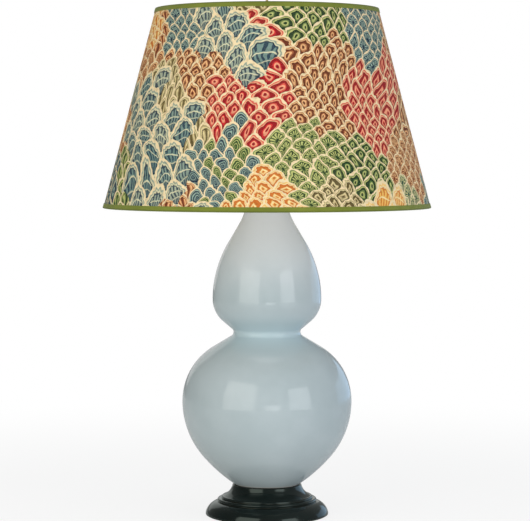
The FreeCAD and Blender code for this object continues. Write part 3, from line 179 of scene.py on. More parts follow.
class Graph:
    """A node material with one Principled shader, and short ways to add the nodes before it. It
    can also wrap the world's nodes."""

    def __init__(self, name, world=None):
        self.material = world or bpy.data.materials.new(name)
        self.material.use_nodes = True
        self.tree = self.material.node_tree
        self.shader = self.tree.nodes.get("Principled BSDF")

    def node(self, kind, inputs=None, **settings):
        made = self.tree.nodes.new("ShaderNode" + kind)
        for key, value in settings.items():
            setattr(made, key, value)
        for key, value in (inputs or {}).items():
            self.feed(made.inputs[key], value)
        return made

    def feed(self, socket, value):
        if isinstance(value, Value):
            value = value.socket
        if isinstance(value, bpy.types.NodeSocket):
            self.tree.links.new(value, socket)
        else:
            socket.default_value = value

    def math(self, operation, *terms):
        made = self.node("Math", operation=operation)
        for socket, term in zip(made.inputs, terms):
            self.feed(socket, term)
        return Value(self, made.outputs[0])

    def mix(self, factor, first, second, kind="RGBA", blend="MIX"):
        """first where factor is 0 and second where it is 1."""
        made = self.node("Mix", data_type=kind, blend_type=blend, clamp_factor=True)
        slots = {"FLOAT": (0, 2, 3, 0), "VECTOR": (0, 4, 5, 1), "RGBA": (0, 6, 7, 2)}[kind]
        for slot, value in zip(slots, (factor, first, second)):
            self.feed(made.inputs[slot], value)
        return made.outputs[slots[3]]

    def pick(self, factor, first, second):
        return Value(self, self.mix(factor, first, second, "FLOAT"))

    def spread(self, value, low, high, to_low=0.0, to_high=1.0, smooth=True):
        """value taken from low..high to to_low..to_high, eased at both ends if smooth."""
        made = self.node("MapRange", interpolation_type="SMOOTHSTEP" if smooth else "LINEAR")
        for slot, number in enumerate((value, low, high, to_low, to_high)):
            self.feed(made.inputs[slot], number)
        return Value(self, made.outputs[0])

    def place(self, uv=None):
        """Where a point is: in the room, in metres, or in the named map."""
        if uv:
            return self.node("UVMap", uv_map=uv).outputs[0]
        return self.node("NewGeometry").outputs["Position"]

    def rest_place(self):
        """A place that rides with the piece when it moves."""
        return self.node("TexCoord").outputs["Object"]

    def stretch(self, vector, scale):
        return self.node("Mapping", {0: vector, 3: scale}, vector_type="POINT").outputs[0]

    def noise(self, vector, scale, detail=3.0):
        inputs = {"Vector": vector, "Scale": scale, "Detail": detail, "Roughness": 0.55}
        return Value(self, self.node("TexNoise", inputs).outputs["Fac"])

    def split(self, vector):
        made = self.node("SeparateXYZ", {0: vector})
        return [Value(self, socket) for socket in made.outputs]

    def join(self, x, y, z=0.0):
        return self.node("CombineXYZ", {0: x, 1: y, 2: z}).outputs[0]

    def steps(self, value, stops):
        """The colour of the last stop that value has reached."""
        made = self.node("ValToRGB", {0: value})
        made.color_ramp.interpolation = "CONSTANT"
        points = made.color_ramp.elements
        while len(points) < len(stops):
            points.new(1.0)
        for point, (at, colour) in zip(points, stops):
            point.position = at
            point.color = colour
        return made.outputs[0]

    def bump(self, height, distance, strength, under=None):
        inputs = {"Height": height, "Distance": distance, "Strength": strength}
        made = self.node("Bump", inputs)
        if under is not None:
            self.feed(made.inputs["Normal"], under)
        return made.outputs[0]

    def edges(self, radius):
        """1 along sharp edges and 0 on open faces."""
        rounded = self.node("Bevel", samples=6)
        rounded.inputs["Radius"].default_value = radius
        true = self.node("NewGeometry").outputs["Normal"]
        cosine = self.node("VectorMath", {0: rounded.outputs[0], 1: true}, operation="DOT_PRODUCT")
        return self.spread(1.0 - Value(self, cosine.outputs["Value"]), 0.02, 0.25)

    def finish(self, colour, rough, normal=None, **settings):
        """The material, with the shader's other sockets set by name: coat_weight=0.5."""
        self.feed(self.shader.inputs["Base Color"], colour)
        self.feed(self.shader.inputs["Roughness"], rough)
        if normal is not None:
            self.feed(self.shader.inputs["Normal"], normal)
        for key, value in settings.items():
            socket = key.replace("_", " ").title().replace("Ior", "IOR")
            self.shader.inputs[socket].default_value = value
        return self.material


# ---------------------------------------------------------------- materials


def glaze():
    """Pale blue-grey glaze on stoneware. It pools bluer in the waist and runs thin and paler at the
    rims, and the slip under it is not quite even. Painted light: the neck is painted much paler
    where the shade's shadow falls on it, and the waist's band is painted paler too, against its
    shade."""
    g = Graph("glaze")
    place = g.rest_place()
    height = g.split(place)[2]
    cloud = g.noise(place, 9.0, 4.0)
    speck = g.noise(place, 900.0, 2.0)
    body = g.mix(g.spread(cloud, 0.35, 0.65), srgb(172, 185, 190), srgb(180, 192, 197))
    low = 1.0 - g.spread(height, *LOW_BELLY)
    body = g.mix(low * 0.2, body, srgb(190, 200, 200))
    # Painted light: the neck is painted nearly white, lifting it out of the shade's shadow.
    neck = g.spread(height + (cloud - 0.5) * 0.02, *PAINTED_LIGHT_NECK)
    body = g.mix(neck, body, srgb(236, 239, 242))
    # The waist's band is bluer where the glaze pools, and also painted paler as light against the
    # shade in the hollow.
    waist = 1.0 - g.spread((height - WAIST).math("ABSOLUTE"), 0.0, WAIST_REACH)
    body = g.mix(waist * 0.8, body, srgb(186, 206, 213))
    rims = g.spread(height, *MOUTH_RIM) + 1.0 - g.spread(height, *FOOT_RIM)
    body = g.mix(rims * 0.6, body, srgb(208, 206, 196))
    colour = g.mix(g.spread(speck, 0.66, 0.74) * 0.16, body, srgb(150, 160, 160))
    ripple = g.noise(place, 32.0, 2.0)
    orange_peel = g.noise(place, 260.0, 1.0)
    normal = g.bump(ripple, 0.0006, 0.35)
    normal = g.bump(orange_peel, 0.00006, 0.25, normal)
    rough = g.spread(g.noise(place, 60.0), 0.3, 0.7, 0.12, 0.2)
    return g.finish(
        colour, rough, normal, specular_ior_level=0.1, coat_weight=0.55, coat_roughness=0.08
    )


def bronze():
    """Cast metal under a near-black patina, waxed, and rubbed a little browner along its edges."""
    g = Graph("bronze")
    place = g.rest_place()
    cloud = g.noise(place, 26.0, 4.0)
    grain = g.noise(place, 700.0, 2.0)
    colour = g.mix(g.spread(cloud, 0.35, 0.68), srgb(3, 15, 15), srgb(10, 18, 16))
    worn = g.edges(0.0007) * g.spread(g.noise(place, 90.0), 0.35, 0.6)
    colour = g.mix(worn * 0.45, colour, srgb(118, 98, 74))
    rough = g.spread(grain * 0.4 + cloud * 0.6, 0.35, 0.65, 0.1, 0.17)
    normal = g.bump(grain, 0.00003, 0.3, g.bump(g.noise(place, 45.0, 2.0), 0.0004, 0.25))
    return g.finish(
        colour, rough, normal,
        metallic=0.25, specular_ior_level=0.42, specular_tint=(0.86, 1.0, 0.92, 1.0),
    )


def brushed_metal(name, light, dark, worn, around=True):
    """Turned metal with fine lines round the Z axis, or tumbled metal with an even grain. Both
    have clouds of tarnish and bright edges."""
    g = Graph(name)
    place = g.rest_place()
    fine = g.stretch(place, (60.0, 60.0, 5200.0) if around else (700.0, 700.0, 700.0))
    lines = g.noise(fine, 1.0, 3.0)
    cloud = g.noise(place, 70.0, 4.0)
    colour = g.mix(g.spread(cloud, 0.3, 0.7), dark, light)
    colour = g.mix(g.edges(0.0004) * 0.6, colour, worn)
    rough = g.spread(lines * 0.6 + cloud * 0.4, 0.3, 0.7, 0.2, 0.36)
    return g.finish(colour, rough, g.bump(lines, 0.00004, 0.35), metallic=1.0)


def threaded_metal(name, light, dark, pitch, depth):
    """Metal with a screw thread cut or rolled around the Z axis."""
    g = Graph(name)
    place = g.rest_place()
    x, y, z = g.split(place)
    turn = g.math("ARCTAN2", y, x) / (2 * math.pi)
    wave = ((z / pitch + turn).math("FRACT") - 0.5).math("ABSOLUTE") * 2.0
    cloud = g.noise(place, 140.0, 3.0)
    colour = g.mix(g.spread(cloud, 0.3, 0.7), dark, light)
    # Painted shade: darker in the thread's grooves.
    colour = g.mix((1.0 - wave) * 0.35, colour, dark)
    rough = g.spread(cloud, 0.3, 0.7, 0.22, 0.38)
    return g.finish(colour, rough, g.bump(wave, depth, 0.9), metallic=1.0)


def felt():
    """Pressed wool felt, dark green-black and napped."""
    g = Graph("felt")
    place = g.rest_place()
    fibres = g.noise(g.stretch(place, (1.0, 1.0, 0.4)), 1500.0, 4.0)
    tufts = g.noise(place, 180.0, 4.0)
    colour = g.mix(g.spread(tufts, 0.3, 0.7), srgb(52, 62, 50), srgb(72, 82, 68))
    colour = g.mix(g.spread(fibres, 0.62, 0.8) * 0.5, colour, srgb(120, 128, 112))
    normal = g.bump(fibres, 0.0004, 0.8, g.bump(tufts, 0.0006, 0.4))
    return g.finish(colour, 0.95, normal, sheen_weight=0.4)


def dull_rubber():
    """Black rubber with a greyish bloom."""
    g = Graph("gasket_rubber")
    place = g.rest_place()
    bloom = g.noise(place, 120.0, 4.0)
    colour = g.mix(g.spread(bloom, 0.35, 0.7), srgb(42, 41, 40), srgb(62, 60, 57))
    rough = g.spread(bloom, 0.3, 0.7, 0.55, 0.75)
    return g.finish(colour, rough, g.bump(g.noise(place, 700.0), 0.0001, 0.4))


def phenolic():
    """Moulded black plastic with faint flow marks and greyer edges."""
    g = Graph("black_plastic")
    place = g.rest_place()
    flow = g.noise(g.stretch(place, (1.0, 1.0, 3.0)), 60.0, 4.0)
    colour = g.mix(g.spread(flow, 0.35, 0.7), srgb(27, 25, 24), srgb(40, 37, 35))
    colour = g.mix(g.edges(0.0003) * 0.4, colour, srgb(84, 78, 72))
    rough = g.spread(g.noise(place, 320.0), 0.3, 0.7, 0.24, 0.4)
    return g.finish(colour, rough, g.bump(flow, 0.0001, 0.3))


def fibre_card():
    """Brown pressed card, rolled inside the holder's shell."""
    g = Graph("liner_card")
    place = g.rest_place()
    fibres = g.noise(g.stretch(place, (1.0, 1.0, 0.25)), 900.0, 4.0)
    colour = g.mix(g.spread(fibres, 0.3, 0.7), srgb(150, 118, 80), srgb(184, 152, 110))
    return g.finish(colour, 0.85, g.bump(fibres, 0.0001, 0.6))


def frosted_glass():
    """Bulb glass, etched inside, and greyer low down."""
    g = Graph("bulb_glass")
    place = g.rest_place()
    height = g.split(place)[2]
    etch = g.noise(place, 800.0, 3.0)
    colour = g.mix(g.spread(height, 0.56, 0.6), srgb(214, 214, 210), srgb(246, 246, 242))
    colour = g.mix(g.spread(etch, 0.6, 0.8) * 0.2, colour, srgb(226, 226, 222))
    rough = g.spread(etch, 0.3, 0.7, 0.28, 0.4)
    return g.finish(
        colour, rough, g.bump(etch, 0.00004, 0.4),
        transmission_weight=0.45, coat_weight=0.5, coat_roughness=0.05,
    )


def powder_coat():
    """Off-white baked coat with a fine orange peel."""
    g = Graph("white_wire")
    place = g.rest_place()
    peel = g.noise(place, 900.0, 2.0)
    cloud = g.noise(place, 50.0, 3.0)
    colour = g.mix(g.spread(cloud, 0.35, 0.7), srgb(238, 235, 226), srgb(226, 221, 208))
    return g.finish(colour, 0.42, g.bump(peel, 0.00006, 0.5))


def weave(along, across, pitch):
    """Height of a plain weave at two lengths across its threads."""
    warp = (along * (math.pi / pitch)).math("SINE")
    weft = (across * (math.pi / pitch)).math("SINE")
    crossings = (warp * weft * 0.5 + 0.5) * 0.6
    return crossings + warp.math("ABSOLUTE") * 0.2 + weft.math("ABSOLUTE") * 0.2


def backing():
    """Laminated lining of the shade: off-white, with the cloth's weave pressed through."""
    g = Graph("shade_backing")
    place = g.rest_place()
    x, y, z = g.split(place)
    around = g.math("ARCTAN2", y, x) * 0.2
    mottle = g.noise(place, 22.0, 4.0)
    colour = g.mix(g.spread(mottle, 0.35, 0.7), srgb(240, 234, 220), srgb(230, 222, 204))
    return g.finish(colour, 0.6, g.bump(weave(around, z, PRESSED_WEAVE_PITCH), 0.00012, 0.35))


def tape_cloth():
    """Grosgrain tape: ribs across the tape with painted shade between them, and a painted shadow
    along its fold.
    """
    g = Graph("green_tape")
    along, across = g.split(g.place("cloth"))[:2]
    ribs = (along * (math.pi / RIB_PITCH)).math("SINE").math("ABSOLUTE")
    threads = g.noise(g.stretch(g.place("cloth"), (500.0, 3000.0, 1.0)), 1.0)
    cloud = g.noise(g.stretch(g.place("cloth"), (14.0, 14.0, 1.0)), 1.0)
    colour = g.mix(g.spread(cloud, 0.3, 0.7), srgb(112, 122, 38), srgb(128, 138, 50))
    # Painted shade between the ribs.
    colour = g.mix((1.0 - ribs) * 0.35, colour, srgb(74, 86, 22))
    colour = g.mix(g.spread(threads, 0.5, 0.8) * 0.3, colour, srgb(150, 158, 78))
    # Painted shadow along the tape's fold.
    fold = 1.0 - g.spread((across - TAPE_OUTSIDE).math("ABSOLUTE"), 0.0004, 0.0011)
    colour = g.mix(fold * 0.45, colour, srgb(62, 74, 18))
    normal = g.bump(threads, 0.00008, 0.5, g.bump(ribs, 0.00018, 0.7))
    return g.finish(colour, 0.72, normal, sheen_weight=0.1, specular_ior_level=0.25)


# ---------------------------------------------------------------- the shade's printed linen


def scale_lattice(g, x, y, radius):
    """Overlapping round scales in rows, each row half a scale aside. Returns where a point is in
    its own scale, in radii, and the place of that scale's middle."""
    row = (y / radius).math("FLOOR")
    rise = y - row * radius
    odd = row.math("FLOORED_MODULO", 2.0)
    near = g.math("WRAP", x - odd * radius, radius, -radius)
    far = g.math("WRAP", x + odd * radius - radius, radius, -radius)
    inside = near * near + rise * rise < radius * radius
    across = g.pick(inside, far, near)
    up = g.pick(inside, rise - radius, rise)
    return across / radius, up / radius, x - across, y - up


def warped(g, place, frequency, reach):
    """The place, moved about smoothly by up to about a third of reach."""
    inputs = {"Vector": place, "Scale": frequency, "Detail": 1.0}
    drift = g.node("TexNoise", inputs, noise_dimensions="2D")
    shifted = g.node("VectorMath", {0: drift.outputs["Color"]}, operation="SCALE")
    shifted.inputs["Scale"].default_value = reach
    return g.node("VectorMath", {0: place, 1: shifted.outputs[0]}, operation="ADD").outputs[0]


def patches(g, x, y, size, wander):
    """Three random numbers that stay the same all over a patch of scales."""
    moved = warped(g, g.join(x, y), 1.6 / size, wander)
    cells = g.node("TexVoronoi", {"Vector": moved}, voronoi_dimensions="2D")
    cells.inputs["Scale"].default_value = 1 / size
    cells.inputs["Randomness"].default_value = 0.9
    parts = g.node("SeparateColor", {0: cells.outputs["Color"]})
    return [Value(g, socket) for socket in parts.outputs]


# Each motif takes a place in its scale: x and y in radii, the distance out and the angle. It
# returns where its dark ink and its light ink go.


def waves(g, x, y, out, turn):
    """Nested arcs."""
    band = (out * 4.6).math("FRACT")
    return g.join(band > 0.62, (band < 0.3) * (out > 0.2))


def pleats(g, x, y, out, turn):
    """Folds that spread from the foot of the scale."""
    spread = (g.math("ARCTAN2", x, y + 1.25) * 13.0).math("COSINE")
    return g.join(spread > 0.35, spread < -0.7)


def eyes(g, x, y, out, turn):
    """Drops in drops, with an eye in the middle."""
    rise = y - 0.1
    drop = (x * x * 1.7 + rise * rise).math("SQRT") + y * 0.12
    return g.join((drop < 0.17).math("MAXIMUM", drop > 0.44), (drop > 0.17) * (drop < 0.32))


def asters(g, x, y, out, turn):
    """Twelve petals about a dark button."""
    petal = (turn * 12.0).math("COSINE")
    parting = (petal < -0.35) * (out > 0.2)
    blade = (petal > -0.05) * (out > 0.2) * (out < 0.58)
    return g.join((out < 0.15).math("MAXIMUM", parting), blade)


def lozenges(g, x, y, out, turn):
    """A lozenge in a lozenge, with a dot."""
    reach = x.math("ABSOLUTE") * 1.1 + y.math("ABSOLUTE")
    return g.join((reach > 0.5).math("MAXIMUM", reach < 0.16), (reach > 0.26) * (reach < 0.44))


def shells(g, x, y, out, turn):
    """Scallop shell: fine ribs from its dark hinge, broken by pale growth rings."""
    rise = y + 1.05
    rib = (g.math("ARCTAN2", x, rise) * 26.0).math("COSINE")
    far = (x * x + rise * rise).math("SQRT")
    growth = (far * 2.4).math("FRACT")
    dark = ((rib > 0.15) * (growth > 0.22)).math("MAXIMUM", far < 0.5)
    return g.join(dark, (growth < 0.14) * (far > 0.5))


SMALL_MOTIFS = ((0.22, pleats), (0.42, eyes), (0.62, asters), (0.84, lozenges))

# The random number of a patch that an ink set starts at, then its base, dark and light ink
INKS = (
    (0.00, srgb(74, 108, 54), srgb(14, 46, 28), srgb(196, 198, 122)),
    (0.16, srgb(44, 78, 92), srgb(8, 30, 58), srgb(160, 184, 166)),
    (0.32, srgb(214, 14, 38), srgb(140, 2, 24), srgb(238, 172, 134)),
    (0.43, srgb(168, 90, 52), srgb(96, 38, 22), srgb(242, 192, 134)),
    (0.58, srgb(230, 172, 76), srgb(196, 98, 30), srgb(242, 224, 168)),
    (0.76, srgb(152, 132, 84), srgb(84, 70, 38), srgb(228, 212, 160)),
    (0.90, srgb(96, 128, 90), srgb(14, 54, 52), srgb(222, 214, 152)),
)
SHELL_INKS = (
    (0.00, srgb(172, 150, 100), srgb(112, 92, 52), srgb(236, 220, 170)),
    (0.42, srgb(104, 136, 132), srgb(18, 48, 72), srgb(224, 218, 180)),
    (0.66, srgb(236, 186, 96), srgb(206, 118, 44), srgb(242, 224, 172)),
    (0.84, srgb(184, 100, 62), srgb(110, 44, 26), srgb(242, 200, 142)),
)
CREAM = srgb(234, 214, 172)


def inked(g, drawing, choice, tone, inks, up, out):
    """One scale: its base ink, darker where it dips under the scales in front, the drawing's dark
    and light inks, then round it a dark contour, a light band, a band of base ink and a rim of
    bare cream cloth."""
    base, dark, light = [
        g.steps(choice, [(row[0], row[slot]) for row in inks]) for slot in (1, 2, 3)
    ]
    parts = g.split(drawing)
    colour = g.mix(tone, base, light)
    colour = g.mix(parts[1] * 0.85, colour, light)
    colour = g.mix(parts[0] * 0.9, colour, dark)
    colour = g.mix(g.spread(up, 0.3, -0.9) * 0.6, colour, dark)
    colour = g.mix(g.spread(out, 0.56, 0.6) * 0.85, colour, dark)
    colour = g.mix(g.spread(out, 0.65, 0.68) * 0.9, colour, light)
    colour = g.mix(g.spread(out, 0.74, 0.77) * 0.75, colour, base)
    return g.mix(g.spread(out, 0.82, 0.86), colour, CREAM)


def lobed(out, turn, lobes, depth):
    """The distance out in a scale whose outline has this many lobes."""
    return out * (1.0 - (turn * lobes).math("COSINE") * depth)


def round_place(g, across, up):
    """The distance out from a scale's middle, in radii, and the angle."""
    out = (across * across + up * up).math("SQRT")
    return out, g.math("ARCTAN2", across, up)


def cell_tone(g, x, y, low, high):
    """A random number of its own for each scale."""
    rounded = g.join((x * 2000.0).math("ROUND"), (y * 2000.0).math("ROUND"))
    made = g.node("TexWhiteNoise", {"Vector": rounded}, noise_dimensions="2D")
    return g.spread(Value(g, made.outputs["Value"]), 0.0, 1.0, low, high, smooth=False)


def printed_linen():
    """Woven linen with an all-over print of scales, asters, drops and shells in patches. The
    design is drawn by formula from traditional ornaments."""
    g = Graph("shade_print")
    cloth = g.place("cloth")
    drawn = warped(g, warped(g, warped(g, cloth, 5.0, 0.075), 30.0, 0.016), 190.0, 0.0022)
    x, y, _ = g.split(drawn)
    y = y / SCALE_RISE

    across, up, at_x, at_y = scale_lattice(g, x, y, SMALL_SCALE)
    kind, shade, _ = patches(g, at_x, at_y, SMALL_PATCH, 0.06)
    out, turn = round_place(g, across, up)
    drawing = waves(g, across, up, out, turn)
    for start, motif in SMALL_MOTIFS:
        drawing = g.mix(kind > start, drawing, motif(g, across, up, out, turn), "VECTOR")
    fleck = cell_tone(g, at_x, at_y, 0.0, 0.34)
    outline = lobed(out, turn, g.spread(shade, 0.3, 0.7, 5.0, 9.0), (kind > 0.3) * 0.07)
    small = inked(g, drawing, shade + fleck * 0.1, fleck, INKS, up, outline)

    across, up, at_x, at_y = scale_lattice(g, x + 0.62, y + 0.35, LARGE_SCALE)
    which, shade, _ = patches(g, at_x, at_y, LARGE_PATCH, 0.09)
    out, turn = round_place(g, across, up)
    drawing = shells(g, across, up, out, turn)
    fleck = cell_tone(g, at_x, at_y, 0.0, 0.4)
    outline = lobed(out, turn, 13.0, 0.05)
    large = inked(g, drawing, shade, fleck, SHELL_INKS, up, outline)
    colour = g.mix(which < 0.5, small, large)

    wear = g.noise(g.stretch(cloth, (900.0, 900.0, 1.0)), 1.0, 2.0)
    colour = g.mix(g.spread(wear, 0.5, 0.85) * 0.25, colour, CREAM)
    pool = g.noise(g.stretch(cloth, (150.0, 150.0, 1.0)), 1.0, 2.0)
    colour = g.mix(g.spread(pool, 0.45, 0.75) * 0.3, colour, srgb(150, 116, 74), blend="MULTIPLY")
    threads_across, threads_along, _ = g.split(cloth)
    height = weave(threads_across, threads_along, WEAVE_PITCH)
    slub = g.noise(g.stretch(cloth, (60.0, 1800.0, 1.0)), 1.0, 2.0)
    normal = g.bump(slub, 0.00014, 0.4, g.bump(height, 0.00014, 0.35))
    return g.finish(colour, 0.85, normal, specular_ior_level=0.2)


# ---------------------------------------------------------------- pieces


def add_piece(name, points, faces, material, body, uv=None):
    """A mesh piece that rides on a body, smooth, with an optional map in metres."""
    mesh = bpy.data.meshes.new(name)
    mesh.from_pydata(points, [], faces)
    mesh.validate()
    piece = bpy.data.objects.new(name, mesh)
    bpy.context.scene.collection.objects.link(piece)
    if uv:
        layer = mesh.uv_layers.new(name="cloth")
        for loop in mesh.loops:
            layer.data[loop.index].uv = uv[loop.vertex_index]
    for polygon in mesh.polygons:
        polygon.use_smooth = True
    mesh.set_sharp_from_angle(angle=math.radians(40))
    mesh.materials.append(material)
    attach(piece, body)
    return piece


def uneven(seed, number, counts, sizes):
    """Random waves round a rim: how many to the turn, where each starts, and how high it is."""
    rng = random.Random(seed)
    return [
        (rng.randint(*counts), rng.uniform(0, 6.28), rng.uniform(*sizes)) for _ in range(number)
    ]


def wave_height(waves_round, turned):
    """How far the waves lift the rim at this angle."""
    return sum(size * math.sin(count * turned + start) for count, start, size in waves_round)


def on_cone(down, out, angle):
    """A point on the shade, down the slant from its top edge and out from the bare cone."""
    radius = TOP_RADIUS + down * SINE + out * COSINE
    height = SHADE_TOP - down * COSINE + out * SINE
    return Vector((radius * math.cos(angle), radius * math.sin(angle), height))


def unrolled(down, turned):
    """Where a point of the cover lies on the flat cloth: the cone opened out at the seam, with
    the front of the shade on the middle line."""
    slant = TIP_TO_TOP + down
    spread = turned * SINE
    return (slant * math.sin(spread), TIP_TO_TOP + SLANT - slant * math.cos(spread))


def grid_faces(rows, columns):
    """Quads between the points of a grid stored row after row, the last row joined to the first."""
    faces = []
    for row in range(rows):
        for column in range(columns - 1):
            first = row * columns + column
            above = (row + 1) % rows * columns + column
            faces.append((first, first + 1, above + 1, above))
    return faces


def shade_cover(material):
    """The printed linen: one sector of cloth, rolled into a cone and glued over its own edge at
    the back. It is not perfectly round, as a stiff cover never is."""
    around, down_steps = 360, 16
    waves_round = uneven(4, 7, (3, 14), (0.00004, 0.00012))
    full_turn = 2 * math.pi
    flap = COVER_OVERLAP / BOTTOM_RADIUS
    section = [(SLANT * step / down_steps, 0.0) for step in range(down_steps + 1)]
    section += [(down, -COVER_THICKNESS) for down, _ in reversed(section)]
    angles = [full_turn * step / around for step in range(around + 1)]
    angles += [full_turn + flap * part for part in (0.25, 0.5, 0.75, 1.0)]

    points, flat = [], []
    for down, out in section:
        for turned in angles:
            # The first edge lies flat under the last one, which climbs onto it.
            over = max(0.0, min(1.0, (turned - full_turn + flap) / flap))
            under = max(0.0, 1 - turned / (flap * 2))
            lift = (COVER_THICKNESS + GLUE) * over * over * (3 - 2 * over) - GLUE * under
            proud = out + wave_height(waves_round, turned) + lift
            points.append(on_cone(down, proud, SEAM_ANGLE + turned))
            flat.append(unrolled(down, turned - math.pi))
    rows, columns = len(section), len(angles)
    faces = grid_faces(rows, columns)
    for column in (0, columns - 1):
        edge = [row * columns + column for row in range(rows)]
        for k in range(rows // 2 - 1):
            faces.append((edge[k], edge[k + 1], edge[rows - 2 - k], edge[rows - 1 - k]))
    cover = add_piece("shade_cover", points, faces, material, "shade", flat)
    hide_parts("shade_fabric")


def edge_tape(name, at_top, material):
    """Grosgrain tape folded over an edge of the shade, its last end laid over its first one."""
    around = 480
    wall, thick = SHADE_WALL, TAPE_THICKNESS

    def leg(length):
        """One side of the fold from its thin selvedge: how far down, and the share of thickness."""
        return [
            (length, 0.25), (length - TAPE_SELVEDGE, 0.95), (length / 2, 1.0), (TAPE_SELVEDGE, 1.0),
        ]

    # The tape's section, from its outer selvedge over the fold and back on the glued side.
    line = [(down, thick * part) for down, part in leg(TAPE_OUTSIDE)]
    for step in range(1, 6):
        bend = math.pi * step / 6
        reach = wall / 2 + thick
        line.append((-math.sin(bend) * thick, -wall / 2 + reach * math.cos(bend)))
    line += [(down, -wall - thick * part) for down, part in reversed(leg(TAPE_INSIDE))]
    line += [(TAPE_INSIDE - TAPE_INSET, -wall + GLUE), (TAPE_INSET, -wall + GLUE)]
    line += [(TAPE_INSET, -GLUE), (TAPE_OUTSIDE - TAPE_INSET, -GLUE)]

    waves_round = uneven(11 if at_top else 12, 6, (20, 90), (0.00002, 0.00005))
    full_turn = 2 * math.pi
    end = full_turn + TAPE_OVERLAP / BOTTOM_RADIUS
    angles = [full_turn * step / around for step in range(around + 1)] + [end]
    across = [0.0]
    for before, after in zip(line, line[1:]):
        across.append(across[-1] + math.dist(before, after))
    points, flat = [], []
    for (down, out), width in zip(line, across):
        # Away from the shade on either side, and not at all where the tape is glued to its front
        away = 0 if abs(out) <= TAPE_INSET else math.copysign(1, out)
        place = down if at_top else SLANT - down
        for turned in angles:
            over = max(0.0, min(1.0, (turned - full_turn + TAPE_LAP_ANGLE) / TAPE_LAP_ANGLE))
            shift = (wave_height(waves_round, turned) + TAPE_LAP_RISE * over) * away
            points.append(on_cone(place, out + shift, TAPE_START + turned))
            flat.append((turned * BOTTOM_RADIUS, width))
    rows, columns = len(line), len(angles)
    faces = grid_faces(rows, columns)
    for column in (0, columns - 1):
        loop = [row * columns + column for row in range(rows)]
        faces.append(tuple(loop if column else reversed(loop)))
    if not at_top:
        faces = [tuple(reversed(face)) for face in faces]
    piece = add_piece(name, points, faces, material, "shade", flat)
    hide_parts("top_trim" if at_top else "bottom_trim")
    return piece


def felt_pad(material):
    """Die-cut felt under the foot: a disc with a soft, slightly uneven edge."""
    reach, _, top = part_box("felt_pad")[1]
    waves_round = uneven(7, 9, (9, 160), (0.00002, 0.00008))
    around = 240
    turns = [2 * math.pi * k / around for k in range(around)]
    # From near the middle of the underside, round the edge, to near the middle of the top
    section = [(0.3, 0.0), (0.7, 0.0), (0.985, 0.0), (1.0, 0.3)]
    section += [(1.0, 0.7), (0.99, 1.0), (0.7, 1.0), (0.3, 1.0)]
    points = [(0.0, 0.0, 0.0)]
    for part, rise in section:
        for turn in turns:
            radius = reach * part - FELT_INSET + wave_height(waves_round, turn) * (part > 0.9)
            points.append((radius * math.cos(turn), radius * math.sin(turn), top * rise))
    points.append((0.0, 0.0, top))
    faces = [(0, 1 + (k + 1) % around, 1 + k) for k in range(around)]
    for ring in range(len(section) - 1):
        first = 1 + ring * around
        for k in range(around):
            beside = (k + 1) % around
            faces.append((first + k, first + beside, first + around + beside, first + around + k))
    last, middle = 1 + (len(section) - 1) * around, len(points) - 1
    faces += [(middle, last + k, last + (k + 1) % around) for k in range(around)]
    pad = add_piece("felt_disc", points, faces, material, "base")
    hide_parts("felt_pad")


def dress(material, *names):
    """Gives named solids of the model their material."""
    for name in names:
        for slot in nodes[name].material_slots:
            slot.material = material


# ---------------------------------------------------------------- room, light and camera


def background_share(g):
    """How much of the white background a ray sees: all of it for the camera and through glass,
    and a part of it in reflections."""
    path = g.node("LightPath").outputs
    camera, glass, gloss = [
        Value(g, path["Is %s Ray" % kind]) for kind in ("Camera", "Transmission", "Glossy")
    ]
    return camera.math("MAXIMUM", glass).math("MAXIMUM", gloss * SEEN_BY_GLOSS)


def studio_floor():
    """Round pale floor, just under the felt's nap. The camera sees it fade into the white
    background away from the lamp, and near the lamp it keeps the lamp's soft shadow. So that the
    underside can be looked at, it is clear from below and open under the felt."""
    rings, around = 24, 64
    turns = [2 * math.pi * k / around for k in range(around)]
    points = []
    for ring in range(rings + 1):
        radius = FLOOR_OPENING + (FLOOR_REACH - FLOOR_OPENING) * (ring / rings) ** 1.5
        points += [(radius * math.cos(a), radius * math.sin(a), FLOOR_LEVEL) for a in turns]
    faces = []
    for ring in range(rings):
        first = ring * around
        for k in range(around):
            beside = (k + 1) % around
            faces.append((first + k, first + around + k, first + around + beside, first + beside))
    mesh = bpy.data.meshes.new("studio_floor")
    mesh.from_pydata(points, [], faces)
    floor = bpy.data.objects.new("studio_floor", mesh)
    bpy.context.scene.collection.objects.link(floor)

    g = Graph("studio_floor")
    place = g.place()
    x, y, _ = g.split(place)
    away = (x * x + y * y).math("SQRT")
    colour = g.mix(g.noise(place, 3.0) * 0.1, srgb(236, 236, 236), srgb(230, 230, 230))
    g.finish(colour, 0.95)
    glow = g.node("Emission", {0: WHITE, 1: 1.0})
    share = g.spread(away, *FLOOR_FADE) * background_share(g)
    blend = g.node("MixShader", {0: share, 1: g.shader.outputs[0], 2: glow.outputs[0]})
    from_below = g.node("NewGeometry").outputs["Backfacing"]
    clear = g.node("BsdfTransparent").outputs[0]
    whole = g.node("MixShader", {0: from_below, 1: blend.outputs[0], 2: clear})
    g.tree.links.new(whole.outputs[0], g.tree.nodes["Material Output"].inputs["Surface"])
    mesh.materials.append(g.material)


def softbox(name, azimuth, elevation, distance, width, height, level, tint):
    """A soft lamp of even brightness that faces the lamp's middle. Azimuth is taken from the
    front towards the right."""
    turn, rise = math.radians(azimuth), math.radians(elevation)
    flat = math.cos(rise)
    offset = Vector((math.sin(turn) * flat, -math.cos(turn) * flat, math.sin(rise)))
    data = bpy.data.lights.new(name, "AREA")
    data.shape = "RECTANGLE"
    data.size, data.size_y = width, height
    data.energy = level * math.pi * width * height
    data.color = tint
    lamp = bpy.data.objects.new(name, data)
    lamp.location = Vector(LIT_POINT) + offset * distance
    lamp.rotation_euler = (-offset).to_track_quat("-Z", "Y").to_euler()
    bpy.context.scene.collection.objects.link(lamp)


